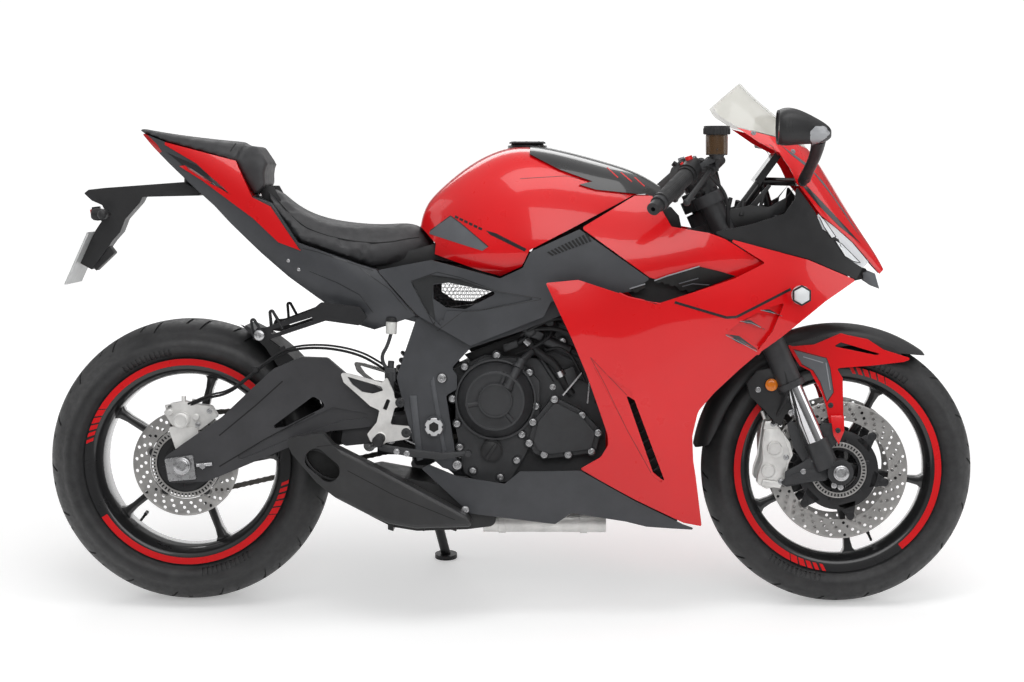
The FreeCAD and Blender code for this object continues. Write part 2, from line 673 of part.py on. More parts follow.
def make_engine():
    half = size("engine_half_width")
    case = [
        (-112, 300), (-112, 450), (-134, 478), (-134, 520), (-60, 556), (52, 549), (186, 484), (206, 430),
        (206, 330), (150, 290), (100, 262), (-60, 262),
    ]
    body = new_body("engine_block")
    sketch = sketch_on(body, "crankcase_side", "XZ_Plane", outline(stations(case), 14))
    pad(body, sketch, "crankcase", "2 * dims.engine_half_width", midplane=True)
    top = [(60, 530), (66, 542.5), (150, 712), (262, 660), (172, 491.1), (150, 480)]
    block = sketch_on(body, "cylinders_side", "XZ_Plane", outline(stations(top), 6))
    pad(body, block, "cylinders", "2 * dims.engine_half_width - 12", midplane=True)
    front = chain_loop()[0]
    place = 14 - size("chain_plane")
    recess = sketch_on(body, "sprocket_recess", "XZ_Plane", [circle(front.x, front.z, 56)], place)
    pocket = body.newObject("PartDesign::Pocket", "sprocket_pocket")
    pocket.Profile = recess
    pocket.Length = 60
    keep(body, "engine_block")
    clutch = at(-34, -half, 461)
    case_cover = [
        (-104, 300), (-122, 400), (-122, 450), (-96, 528), (-60, 553), (10, 551), (62, 500), (60, 400), (24, 326),
        (-6, 280), (-60, 275), (-92, 292),
    ]
    ribs = []
    for degrees in (70, 190, 310):
        a = math.radians(degrees)
        middle = clutch + Vector(52 * math.cos(a), -56, 52 * math.sin(a))
        ribs.append(rod(middle - Vector(16 * math.cos(a), 0, 16 * math.sin(a)),
                        middle + Vector(14 * math.cos(a), 0, 14 * math.sin(a)), 6))
    cover = fused([
        prism(case_cover, -half, -(half + 22), 14),
        Part.makeCone(88, 82, 34, clutch, -LEFT),
        Part.makeCone(82, 64, 24, clutch - LEFT * 34, -LEFT),
        Part.makeCylinder(38, 66, clutch, -LEFT),
        Part.makeCylinder(24, 32, at(-43, -half, 349), -LEFT),
        *ribs,
    ])
    shape = [(92, 468), (156, 436), (195, 392), (184, 346), (80, 332), (50, 344), (38, 369), (50, 416)]
    water = prism(shape, -half, -(half + 34), 8)
    inset = [(96, 455), (150, 428), (183, 390), (174, 354), (84, 343), (58, 352), (50, 372), (60, 414)]
    water = fused([water, prism(inset, -(half + 30), -(half + 42), 8)])
    centre = at(20, half, 440)
    left = fused([Part.makeCone(88, 80, 40, centre, LEFT), Part.makeCone(80, 58, 18, centre + LEFT * 40, LEFT)])
    feature("engine_covers", Part.makeCompound([fused([cover, water]), left]))


def make_exhaust():
    runs = []
    face_low, face_high = Vector(172, 0, 491.1), Vector(262, 0, 660)
    up_face = (face_high - face_low).normalize()
    port = face_low + up_face * 80
    bend = port + Vector(up_face.z, 0, -up_face.x) * 92
    for y in (-70, 0, 70):
        low = y * 0.55
        runs.append(pipe([(port.x, y, port.z), (bend.x, y, bend.z), (308, low, 300), (222, low, 210), (-34, low, 210)], 19, 30))
    feature("exhaust_pipes", fused([*runs, prism([(90, 194), (90, 226), (-34, 226), (-34, 194)], -50, 50, 8)]))

    tray = [
        (-392, 282), (-300, 300), (-34, 252), (-34, 184), (-96, 176), (-206, 172), (-262, 181), (-309, 205), (-366, 244),
    ]
    ribs = [prism([(x, 172), (x - 12, 176), (x - 12, 214), (x, 214)], -157, -20) for x in (-120, -190, -258)]
    link = rod(at(-250, -140, 250), at(-250, -163, 250), 20)
    box = fused([prism(tray, -150, 84, 16), *ribs, link])

    shell = [
        (-491, 378), (-407, 392), (-384, 366), (-300, 324), (-94, 214), (-80, 190), (-206, 186), (-262, 196),
        (-309, 216), (-379, 252), (-421, 284), (-477, 345),
    ]
    can = prism(shell, -163, -222, 14)
    long_edges = [
        e for e in can.Edges
        if abs(e.BoundBox.YMin + 222) < 0.1 and abs(e.BoundBox.YMax + 222) < 0.1 and e.Length > 20
    ]
    can = can.makeFillet(9, long_edges) if size("panel_wall") > 0 else can
    slant = Part.makePolygon([at(x, y, 200) for x, y in ((-366, -222.5), (-505, -178), (-505, -240), (-366, -240), (-366, -222.5))])
    can = can.cut(Part.Face(slant).extrude(Vector(0, 0, 240)))
    mouth = [(-360, 315), (-390, 277), (-456, 329), (-426, 367)]
    feature("muffler", fused([box, can.cut(prism(mouth, -168, -240, 22))]))


def make_swingarm():
    inner, outer = size("arm_inner"), size("arm_outer")
    x, z = -DRAWN_WHEELBASE / 2, REAR_AXLE.z
    px, pz = size("pivot_x"), PIVOT.z
    nose = px - 92
    right = [
        (x - 42, z + 16), (x - 4, z + 44), (x + 86, z + 106), (x + 154, z + 170), (x + 200, z + 212),
        (x + 262, z + 238), (x + 318, z + 236), (x + 360, z + 200), (nose - 40, pz + 92), (nose, pz + 60),
        (nose, pz - 20), (px - 140, pz - 2), (px - 230, pz - 12), (px - 316, pz - 46), (x + 53, z - 36),
        (x - 34, z - 40),
    ]
    window = [(x + 190, z + 80), (x + 287, z + 152), (x + 319, z + 132), (x + 223, z + 84)]
    left = [
        (x - 42, z + 22), (x + 60, z + 52), (x + 300, z + 110), (nose, pz + 34), (nose, pz - 30),
        (x + 330, z + 20), (x + 60, z - 34), (x - 34, z - 36),
    ]
    arm_right = prism(right, -inner, -outer + 4, 14).cut(prism(window, -inner + 10, -outer - 10, 8))
    groove = [(x + 70, z - 12), (x + 190, z + 62), (x + 330, z + 128), (nose - 20, pz + 20), (px - 200, pz + 12), (x + 240, z + 60)]
    arm_right = arm_right.cut(prism(groove, -outer + 7, -outer, 6))
    arm_left = prism(left, inner, outer - 4, 14)
    reach = size("frame_inner") - SEAT_GAP
    bridge = [
        (x + 344, z + 40), (x + 352, z + 92), (px - 60, pz + 24), (px, pz + 28), (px + 26, pz), (px, pz - 28),
        (px - 60, pz - 32),
    ]
    tube_across = rod(PIVOT - LEFT * reach, PIVOT + LEFT * reach, 30)
    body = fused([arm_right, arm_left, prism(bridge, -reach, reach, 12), tube_across])
    shock_low, shock_high = at(-262, 0, 416), at(-196, 0, 590)
    body = body.cut(rod(shock_low, shock_high, 14 + SEAT_GAP))
    body = body.cut(rod(REAR_AXLE - LEFT * 200, REAR_AXLE + LEFT * 200, size("rear_axle_radius")))
    body = body.cut(rod(PIVOT - LEFT * 200, PIVOT + LEFT * 200, 16 + SEAT_GAP))
    feature("swingarm", body)
    axle = tube(REAR_AXLE - LEFT * (outer + 14), REAR_AXLE + LEFT * (outer + 14), size("rear_axle_radius"), size("axle_bore_radius"))
    block = near_rear([(-39, 14), (23, 23), (30, -30), (-30, -35)])
    blocks = both_sides(block, outer - 4, outer + 6, 3).cut(rod(REAR_AXLE - LEFT * 200, REAR_AXLE + LEFT * 200, 12))
    feature("rear_axle", fused([axle, *blocks.Solids]))
    travel = shock_high - shock_low
    coils = [rod(shock_low + travel * k, shock_low + travel * (k + 0.045), 31) for k in (0.2, 0.3, 0.4, 0.5, 0.6, 0.7)]
    shock = fused([rod(shock_low, shock_high, 14), rod(shock_low + travel * 0.16, shock_low + travel * 0.8, 24), *coils])
    cross = rod(at(-190, -inner, 600), at(-190, inner, 600), 14 + SEAT_GAP)
    feature("shock_absorber", shock.cut(cross))
    make_rear_caliper(inner)
    make_rear_hugger(inner)


def make_rear_caliper(inner):
    block = [(-46, 113), (-33, 132), (-1, 138), (22, 132), (59, 127), (73, 104), (36, 76), (9, 67), (-10, 67), (-28, 86)]
    block = prism(near_rear(block), -86, -118, 5)
    gap = size("disc_thickness") / 2 + size("brake_gap")
    slot = Part.makeCylinder(size("rear_disc_radius") + 5, gap * 2, REAR_AXLE - LEFT * (size("rear_disc_plane") + gap), LEFT)
    hanger = prism(near_rear([(-36, 82), (30, 80), (34, 30), (-15, 20)]), -112, -inner, 6)
    piston = REAR_AXLE + Vector(-7, -116, 96)
    cup = rod(piston, piston - LEFT * 8, 19)
    body = fused([block.cut(slot), hanger, cup])
    body = body.cut(rod(REAR_AXLE - LEFT * 200, REAR_AXLE + LEFT * 200, 30))
    feature("rear_caliper", body)


def make_rear_hugger(inner):
    """A narrow mudguard close over the tyre's front, on two tabs from the swingarm."""
    radius = size("rear_tyre_radius")
    band = Part.makeCylinder(radius + 16, 176, REAR_AXLE - LEFT * 88, LEFT)
    band = band.cut(Part.makeCylinder(radius + 12, 176, REAR_AXLE - LEFT * 88, LEFT))
    keeper = near_rear(round_tyre([(62, -60), (68, 50), (44, 155), (10.5, 41), (12.2, -8)], radius))
    band = band.common(prism(keeper, -88, 88, 0))
    side = near_rear(round_tyre([(68.5, 14), (62, 16), (46, 16), (40, 14), (44, -22), (56, -4)], radius))
    tabs = [
        prism(near_rear(round_tyre([(39.6, -1), (33, 7), (33.4, 20.6), (40.2, 15)], radius)), -inner, -80, 0),
        prism(near_rear(round_tyre([(13.5, -2.4), (12.8, 15), (17.1, 22), (17.6, 12)], radius)), 80, inner, 0),
        prism(side, -91, -87, 0),
    ]
    feature("rear_hugger", fused([band, *tabs]))


def chain_loop():
    """The chain's closed centre line round both sprockets, as a flat band."""
    front = at(-112, 0, 402)
    big, little = size("rear_sprocket_radius"), size("front_sprocket_radius")
    between = front - REAR_AXLE
    tilt = math.atan2(between.z, between.x)
    spread = math.acos((big - little) / between.Length)
    return front, big, little, tilt, spread


def make_chain():
    front, big, little, tilt, spread = chain_loop()
    half = size("chain_plate_height") / 2
    plane, width = size("chain_plane"), size("chain_width")

    def band(offset):
        def on(centre, radius, angle):
            return Vector(centre.x + radius * math.cos(angle), 0, centre.z + radius * math.sin(angle))

        b, l = big + offset, little + offset
        up, down = tilt + spread, tilt - spread
        edges = [
            Part.makeLine(on(REAR_AXLE, b, up), on(front, l, up)),
            Part.Arc(on(front, l, up), on(front, l, tilt), on(front, l, down)).toShape(),
            Part.makeLine(on(front, l, down), on(REAR_AXLE, b, down)),
            Part.Arc(on(REAR_AXLE, b, down), on(REAR_AXLE, b, tilt + math.pi), on(REAR_AXLE, b, up)).toShape(),
        ]
        return Part.Face(Part.Wire(edges))

    loop = band(half).cut(band(-half))
    loop = moved(loop, Vector(0, plane - width / 2, 0)).extrude(Vector(0, width, 0))
    feature("drive_chain", loop)


def slab(columns, rows, widths):
    """A panel skin on the right-hand side, from the half width at each column and row."""
    grid = [[at(x, -widths[j][i], z) for j, z in enumerate(rows)] for i, x in enumerate(columns)]
    surface = Part.BSplineSurface()
    surface.interpolate(grid)
    return surface.toShape()


def panel(skin, points, radius=6, depth=0.0, thickness=None):
    """A piece of a skin cut to a side outline, from one depth under the skin inwards."""
    thick = size("panel_wall") if thickness is None else thickness
    return moved(skin, Vector(0, depth, 0)).extrude(Vector(0, thick, 0)).common(prism(points, -ACROSS, 0, radius))


def studded(skin, shell, spots, seat, radius=6):
    """The panel with its inner studs, which reach in to the flat side of what carries it."""
    outside = moved(skin, Vector(0, 1, 0)).extrude(Vector(0, -ACROSS, 0))
    studs = [rod(at(x, -seat, z), at(x, -ACROSS / 2, z), radius).cut(outside) for x, z in spots]
    return fused([shell, *studs])


def make_fairings():
    columns = [60, 200, 350, 480, 600, 690, 780]
    rows = [150, 300, 450, 600, 720, 830]
    widths = [
        [150, 148, 130, 100, 80, 60, 45],
        [205, 202, 178, 136, 104, 78, 55],
        [228, 232, 212, 170, 128, 92, 62],
        [240, 250, 236, 205, 160, 118, 75],
        [240, 252, 240, 206, 158, 108, 52],
        [232, 244, 225, 168, 136, 92, 40],
    ]
    skin = slab(columns, rows, widths)
    side = [
        (76, 719), (146, 726), (222, 701), (312, 674), (370, 692), (483, 728), (550, 760), (462, 815), (647, 765),
        (756, 719), (684, 674), (586, 599), (532, 562), (495, 531), (441, 481), (405, 440, 40), (393, 385, 40),
        (396, 330), (402, 294), (417, 181), (377, 190), (268, 247), (150, 315), (195, 342, 20), (211, 369, 20),
        (209, 392), (191, 446), (164, 523), (132, 600), (100, 668),
    ]
    vent = [(249, 478), (267, 467), (335, 284), (308, 307)]
    facet = [(177, 543), (262, 484), (262, 460), (330, 280), (306, 300)]
    gills = [(463, 609), (494, 634), (544, 659), (592, 674), (566, 612), (535, 572)]
    brim = [(452, 609), (490, 645), (540, 668), (604, 684), (572, 612), (536, 560)]
    fins = [
        [(486, 629), (516, 643), (548, 617), (512, 629)],
        [(530, 653), (558, 664), (582, 648), (552, 650)],
        [(463, 609), (474, 617), (535, 580), (535, 572)],
    ]
    body = panel(skin, side, 3).cut(prism(vent, -ACROSS, 0, 2))
    body = body.cut(panel(skin, facet, 2, -4, 6))
    body = body.cut(prism(gills, -ACROSS, 0, 3))
    pan = panel(skin, brim, 3, 1, 15).cut(panel(skin, gills, 3, -4, 16))
    blades = [panel(skin, fin, 1, 3, 12) for fin in fins]
    lamp_seat = rod(at(628, -130, 690), at(628, -158, 690), 13)
    right = fused([studded(skin, body, [(150, 672)], size("frame_outer")), pan, *blades, lamp_seat])
    feature("side_fairings", pair(right))

    belly_columns = [-220, -60, 60, 200, 350, 430]
    belly_rows = [150, 220, 300, 340]
    belly_widths = [
        [166, 168, 166, 164, 144, 112],
        [172, 177, 181, 176, 155, 130],
        [174, 188, 205, 202, 178, 150],
        [176, 192, 212, 210, 188, 160],
    ]
    belly = slab(belly_columns, belly_rows, belly_widths)
    low = [
        (-196, 312), (-178, 320), (-116, 295), (-13, 281), (20, 309), (150, 312), (267, 244), (376, 187), (412, 173),
        (295, 184), (250, 196), (132, 216), (96, 191), (-89, 214),
    ]
    belly_right = studded(belly, panel(belly, low, 3), [(70, 288), (-40, 270)], size("engine_half_width"))
    feature("belly_panels", pair(belly_right))

    shoulder = slab([140, 300, 420, 560], [690, 760, 830, 910], [
        [222, 205, 180, 140],
        [222, 218, 200, 152],
        [212, 205, 195, 150],
        [180, 165, 165, 140],
    ])
    top = [
        (152, 836), (267, 905), (305, 905), (323, 879), (346, 839), (428, 825), (462, 812), (550, 757), (540, 735),
        (400, 700), (299, 730),
    ]
    shoulder_right = studded(shoulder, panel(shoulder, top, 5), [(249, 786)], size("frame_outer"))
    feature("shoulder_panels", pair(shoulder_right))

    cover = slab([-300, -150, 0, 150, 310], [560, 650, 740, 850], [
        [160, 172, 180, 185, 190],
        [165, 182, 195, 205, 210],
        [160, 185, 205, 216, 222],
        [140, 165, 190, 206, 214],
    ])
    grey = [
        (-202, 646), (-291, 743), (-173, 766), (-23, 727), (26, 750), (43, 785), (148, 833), (299, 727), (262, 700),
        (87, 677), (71, 644), (-88, 580),
    ]
    recess = [
        (-216, 718), (-174, 734), (-116, 726), (-27, 697), (60, 684), (-60, 658), (-107, 655), (-139, 656),
        (-152, 622), (-181, 650),
    ]
    mesh = [(-168, 713), (-135, 717), (-27, 696), (-98, 660), (-140, 663), (-168, 682)]
    grey_panel = panel(cover, grey, 3, 0, 6).cut(panel(cover, recess, 3, -4, 8))
    grey_panel = grey_panel.cut(prism(mesh, -ACROSS, 0, 4))
    wires = []
    for k in range(9):
        x = -176 + 19 * k
        wires.append(prism([(x, 640), (x + 2.4, 640), (x + 32.4, 730), (x + 30, 730)], -ACROSS, 0))
        wires.append(prism([(x + 30, 640), (x + 32.4, 640), (x + 2.4, 730), (x, 730)], -ACROSS, 0))
    brim = [(-172, 715), (-136, 721), (-22, 697), (-96, 656), (-142, 659), (-172, 680)]
    lattice = panel(cover, brim, 3, 4.4, 1.6).common(Part.makeCompound(wires))
    covers = studded(cover, grey_panel, [(-150, 631), (-40, 628)], size("frame_outer"))
    feature("frame_covers", pair(fused([covers, *lattice.Solids])))

    nose = slab([430, 520, 610, 700, 790], [690, 790, 870, 950], [
        [165, 150, 125, 90, 40],
        [166, 156, 134, 96, 42],
        [163, 158, 138, 92, 36],
        [158, 155, 130, 82, 26],
    ])
    black = [
        (466, 812), (438, 826), (519, 843), (592, 866), (615, 897), (619, 926), (662, 868), (678, 832), (715, 809),
        (729, 772), (771, 745), (757, 721), (647, 767),
    ]
    inlet = [(238, 712), (262, 688), (312, 655), (410, 680), (420, 712), (340, 752), (240, 740)]
    seat = rod(at(250, -size("frame_outer"), 722), at(250, -169, 722), 8)
    duct = fused([prism(inlet, -167, -171, 6), seat])
    chin = prism([(772, 728), (788, 736), (800, 734), (814, 696), (776, 714)], -26, 0, 3)
    sides = studded(nose, panel(nose, black, 3), [(575, 857)], 110)
    feature("nose_sides", pair(Part.makeCompound([sides, duct])))
    lens = [(663.3, 867), (678.3, 832.4), (715.3, 809.4), (729.3, 772.4), (771.3, 745.4), (786, 757), (748, 800), (704, 838)]
    pod = fused([
        Part.makeCone(21, 19, 8, at(628, -158, 690), -LEFT),
        Part.makeCone(19, 10, 14, at(628, -166, 690), -LEFT),
    ])
    feature("headlights", pair(Part.makeCompound([panel(nose, lens, 2), pod])))


def make_nose():
    """The screen and the hood share one domed surface from the screen's top down to the beak."""
    rows = [
        ((503, 1153), (440, 1098), 96),
        ((582, 1081), (500, 1040), 118),
        ((657, 1003), (590, 965), 138),
        ((732, 886), (686, 846), 104),
        ((786, 803), (756, 770), 56),
        ((823, 741), (812, 730), 16),
    ]
    grid = []
    spread = math.radians(82)
    for (cx, cz), (sx, sz), width in rows:
        row = []
        for k in range(-4, 5):
            a = spread * k / 4
            back = (1 - math.cos(a)) / (1 - math.cos(spread))
            out = width * math.sin(a) / math.sin(spread)
            row.append(at(cx + (sx - cx) * back, out, cz + (sz - cz) * back))
        grid.append(row)
    surface = Part.BSplineSurface()
    surface.interpolate(grid)
    shell = surface.toShape().makeOffsetShape(-3.0, 0.01, fill=True)
    screen = [(520, 1180), (400, 1100), (440, 1086), (490, 1055), (582, 1032), (672, 1000), (640, 1060)]
    hood = [
        (490, 1053), (539, 1020), (581, 998), (603, 966), (621, 929), (664, 869), (706, 838), (750, 801), (790, 757),
        (840, 700), (840, 760), (730, 930), (674, 999), (582, 1030),
    ]
    for s in RIGHT_AND_LEFT:
        shell = shell.cut(rod(at(632, s * 80, 934), at(632, s * 336, 934), 9 + SEAT_GAP))
    feature("windscreen", shell.common(prism(screen, -ACROSS, ACROSS, 0)))
    feature("nose_cowl", shell.common(prism(hood, -ACROSS, ACROSS, 0)))
    dash = prism([(532, 938), (578, 1000), (590, 990), (545, 928)], -70, 70, 3)
    crown = at(552, 0, 936)
    bar = rod(at(632, -110 + SEAT_GAP, 934), at(632, 110 - SEAT_GAP, 934), 9)
    lower = rod(at(575, -110 + SEAT_GAP, 857), at(575, 110 - SEAT_GAP, 857), 8)
    stay = fused([
        dash, rod(steer_point(575, 24), crown, 12), rod(crown, at(632, 0, 934), 9), bar, lower,
        rod(crown, at(575, 0, 857), 9),
    ])
    head = rod(steer_point(400), steer_point(750), size("head_tube_radius") + SEAT_GAP)
    feature("dash", stay.cut(head))
    make_mirrors()


def make_mirrors():
    """Cup-shaped mirrors on flat arms that rise outwards from the nose."""
    arm_rings = []
    for x, y, z, long, tall in ((634, -150, 938, 14, 8), (640, -215, 964, 13, 7.5), (648, -290, 1000, 14, 9), (650, -322, 1026, 16, 14)):
        ring = Part.Ellipse(at(x, y, z), long, tall)
        edge = ring.toShape()
        edge.Placement = Placement(at(x, y, z), Rotation(Vector(1, 0, 0), 62)).multiply(Placement(-at(x, y, z), Rotation()))
        arm_rings.append(Part.Wire(edge))
    arm = Part.makeLoft(arm_rings, True, False)
    root = fused([rod(at(632, -110, 934), at(632, -150, 934), 9), rod(at(632, -142, 934), at(636, -176, 948), 9)])
    rings = []
    for x, z, wide, tall in ((562, 1049, 58, 35), (572, 1050, 64, 39), (596, 1050, 62, 38), (630, 1044, 50, 30), (658, 1038, 32, 20), (672, 1036, 12, 8)):
        corner = []
        for k in range(16):
            a = 2 * math.pi * k / 16
            c, s = math.cos(a), math.sin(a)
            corner.append(at(x, -356 + wide * math.copysign(abs(c) ** 0.8, c), z + tall * math.copysign(abs(s) ** 0.8, s)))
        curve = Part.BSplineCurve()
        curve.interpolate(corner, PeriodicFlag=True)
        rings.append(Part.Wire(curve.toShape()))
    cup = Part.makeLoft(rings, True, False)
    rim = rings[0].copy()
    rim.scale(0.9, at(562, -356, 1049))
    hollow = Part.Face(rim).extrude(Vector(3, 0, 0))
    feature("mirrors", pair(fused([root, arm, cup]).cut(hollow)))


def tank_body(grown):
    """The tank's lofted form, made a little larger for what lies over it."""
    rows = [
        (-205, 830, 70, 60), (-165, 915, 118, 80), (-80, 981, 165, 95), (0, 1011, 190, 105),
        (100, 1003, 200, 110), (200, 977, 188, 105), (290, 944, 155, 90), (335, 915, 130, 70),
    ]
    bottom = 716
    wires = []
    for x, top, half, shelf in rows:
        top, half, shelf = top + grown, half + grown, shelf + grown
        right = [
            (shelf * 0.55, top - 3), (shelf * 1.1, top - 18), (half * 0.9, top - (top - bottom) * 0.3),
            (half, top - (top - bottom) * 0.55), (half * 0.93, bottom + 20), (half * 0.6, bottom),
        ]
        points = [at(x, 0, top)] + [at(x, -y, z) for y, z in right]
        points += [at(x, 0, bottom)] + [at(x, y, z) for y, z in reversed(right)]
        curve = Part.BSplineCurve()
        curve.interpolate(points, PeriodicFlag=True)
        wires.append(Part.Wire(curve.toShape()))
    return Part.makeLoft(wires, True, False)


def make_tank():
    side = [
        (-212, 838), (-199, 834), (-166, 800), (-168, 777), (-71, 744), (-23, 731), (24, 753), (41, 788), (139, 839),
        (267, 907), (345, 912), (345, 1050), (-230, 1050),
    ]
    lid = [
        (40, 1060), (40, 995), (104, 962), (176, 936), (148, 929), (184, 918), (290, 907), (346, 908), (346, 1060),
    ]
    whole = prism(side, -ACROSS, ACROSS, 0)
    neck = Part.makeCylinder(52, 200, at(32, 0, 900))
    over = prism(lid, -ACROSS, ACROSS, 0).cut(neck)
    well = Part.makeCylinder(44 + SEAT_GAP, 60, at(32, 0, 1003))
    body = tank_body(0).common(whole).cut(over).cut(well)
    feature("fuel_tank", body)
    cap = fused([
        Part.makeCylinder(44, 12, at(32, 0, 1003)),
        Part.makeCone(38, 34, 5, at(32, 0, 1015)),
    ])
    cover = tank_body(3.5).common(whole).common(over)
    feature("tank_cover", Part.makeCompound([cover, cap]))


def loft_of(rows, flat=False):
    """A closed body through rounded sections given as x, low, high and half width."""
    wires = []
    for x, low, high, half in rows:
        tall = high - low
        ring = [
            (0, high), (half * 0.55, high - tall * 0.03), (half * 0.92, high - tall * 0.22),
            (half, high - tall * 0.55), (half * 0.88, low + tall * 0.12), (half * 0.5, low),
        ]
        points = [at(x, -y, z) for y, z in ring] + [at(x, 0, low)] + [at(x, y, z) for y, z in reversed(ring[1:])]
        curve = Part.BSplineCurve()
        curve.interpolate(points, PeriodicFlag=True)
        wires.append(Part.Wire(curve.toShape()))
    return Part.makeLoft(wires, True, flat)


def make_seat():
    seat = loft_of([
        (-150, 720, 812, 62), (-190, 720, 836, 84), (-260, 720, 836, 118), (-350, 720, 836, 142),
        (-430, 740, 850, 146), (-490, 760, 880, 134), (-540, 780, 935, 112),
    ])
    side = [
        (-173, 797), (-206, 837), (-240, 860), (-300, 860), (-420, 865), (-480, 900), (-524, 950), (-538, 945),
        (-540, 925), (-526, 888), (-465, 803), (-332, 756), (-300, 746), (-196, 768), (-172, 780),
    ]
    feature("rider_seat", seat.common(prism(side, -ACROSS, ACROSS, 3)))
    hump = loft_of([(-520, 880, 985, 96), (-545, 870, 1012, 108), (-580, 880, 1016, 106), (-615, 900, 1012, 100)])
    stop = [(-594, 1013), (-557, 1009), (-534, 972), (-543, 950), (-541, 926), (-567, 903), (-604, 981)]
    stop = hump.common(prism(stop, -ACROSS, ACROSS, 3))
    cushion = loft_of([
        (-590, 930, 1020, 108), (-660, 950, 1026, 96), (-740, 980, 1036, 70), (-800, 1010, 1046, 40),
        (-836, 1030, 1054, 14),
    ])
    upper = [
        (-596, 1030), (-596, 1012), (-605, 981.1), (-767, 1022.4), (-826, 1044.4), (-845, 1051.6), (-845, 1070),
    ]
    feature("passenger_seat", Part.makeCompound([stop, cushion.common(prism(upper, -ACROSS, ACROSS, 2))]))


def tail_body(grown):
    """The tail's lofted form, made a little wider for the painted panels."""
    rows = [
        (-200, 600, 790, 166), (-300, 600, 800, 162), (-400, 640, 860, 150), (-500, 710, 950, 136),
        (-600, 800, 1010, 116), (-700, 900, 1040, 84), (-790, 990, 1060, 44), (-835, 1035, 1062, 14),
    ]
    return loft_of([(x, low, high, half + grown) for x, low, high, half in rows])


def make_tail():
    low = [
        (-826, 1044), (-797, 1012), (-760, 976), (-704, 925), (-654, 882), (-617, 843), (-548, 778), (-488, 727),
        (-410, 672), (-364, 631), (-300, 612), (-208, 644), (-295, 745), (-300, 745.6), (-332.1, 755.6),
        (-465.4, 802.6), (-526.4, 888), (-568, 903), (-606, 981), (-767, 1022),
    ]
    red = [
        (-768, 1030), (-600, 986), (-567, 901), (-524, 880), (-459, 785), (-509, 803), (-565, 855), (-680, 937),
        (-734, 969), (-722, 971), (-640, 921), (-616, 906), (-694, 975), (-768, 1016),
    ]
    lamp = [(-850, 1040), (-832, 1052), (-812, 1040), (-786, 1016), (-776, 1001), (-790, 992)]
    whole = prism(low, -ACROSS, ACROSS, 2)
    sides = [prism(red, s * 24, s * ACROSS) for s in RIGHT_AND_LEFT]
    lens = prism(lamp, -ACROSS, ACROSS, 0)
    tail = tail_body(0).common(whole).cut(lens)
    for side in sides:
        tail = tail.cut(side)
    tail = tail.cut(rod(at(-722, 0, 880), at(-722, 0, 960), 12 + SEAT_GAP))
    for start, end in tail_tongues():
        tail = tail.cut(rod(start, end, 9 + SEAT_GAP))
    for s in RIGHT_AND_LEFT:
        tail = tail.cut(rod(at(-330, s * 140, 650), at(-330, s * 220, 650), 10 + SEAT_GAP))
    feature("tail_cowl", tail)
    painted = tail_body(3).common(whole).cut(lens)
    feature("tail_panels", pair(painted.common(sides[1])))
    feature("tail_lamp", tail_body(0).common(whole).common(lens))


def make_plate_carrier():
    carrier = [
        (-953, 909), (-943, 917), (-908, 921), (-732, 934), (-699, 917), (-694, 904), (-822, 901), (-829, 888),
        (-862, 851), (-873, 823), (-890, 804), (-937, 739), (-962.6, 753.44, 0), (-938.12, 807.49, 0), (-928, 827), (-915, 846),
        (-906, 869), (-913, 883), (-936, 893),
    ]
    stalks = rod(at(-900, -78, 863), at(-900, 78, 863), 6)
    post = rod(at(-722, 0, 915), at(-722, 0, 960), 12)
    pods = []
    for s in RIGHT_AND_LEFT:
        start = at(-900, s * 78, 863)
        pods += [rod(start, start + LEFT * (s * 26), 11), Part.makeSphere(11, start + LEFT * (s * 26))]
    feature("plate_carrier", fused([prism(carrier, -32, 32, 2), stalks, post, *pods]))
    plate = [(-935.2, 822.4), (-932, 821), (-983, 708.4), (-986.2, 709.8)]
    feature("number_plate", prism(plate, -95, 95, 0))


def make_foot_controls():
    bracket = [
        (-371, 521), (-348, 518), (-280, 499), (-270, 513), (-262, 494), (-255, 479), (-253, 464), (-239, 462),
        (-236, 450), (-253, 444), (-263, 408), (-222, 404), (-217, 390), (-222, 377), (-270, 369), (-284, 361),
        (-306, 371), (-313, 387), (-292, 413), (-286, 439), (-306, 448), (-329, 469), (-364, 500),
    ]
    window = [(-357, 513), (-348, 510), (-282, 491), (-277, 482), (-301, 475), (-324, 479), (-345, 495)]
    slot = [(-270, 464), (-262, 461), (-271, 438), (-279, 442)]
    plate = prism(bracket, -166, -176, 4)
    for hole in (window, slot):
        plate = plate.cut(prism(hole, -160, -180, 3))
    boss = rod(at(-283, -158, 380), at(-283, -190, 380), 11)
    peg = rod(at(-283, -190, 380), at(-283, -268, 380), 10)
    feet = [rod(at(x, -size("frame_outer"), z), at(x, -170, z), 7) for x, z in ((-241, 458), (-226, 394))]
    feature("footrests", pair(fused([plate, boss, peg, *feet])))
    rail = [
        (-562, 593), (-534, 590), (-402, 634), (-330, 624), (-312, 640), (-326, 664), (-412, 674), (-434, 656),
        (-530, 620), (-552, 618),
    ]
    window = [(-520, 604), (-430, 634), (-430, 642), (-520, 614)]
    rail = prism(rail, -170, -182, 4).cut(prism(window, -160, -190, 2))
    hooks = [
        pipe([(-560, -176, 600), (-566, -178, 650), (-538, -180, 604)], 3.2, 4),
        pipe([(-520, -176, 608), (-525, -178, 670), (-496, -180, 616)], 3.2, 4),
    ]
    knob = rod(at(-545, -182, 603), at(-545, -192, 603), 13)
    rail = fused([rail, rod(at(-330, -140, 650), at(-330, -176, 650), 10), *hooks, knob])
    feature("passenger_footrests", pair(rail))


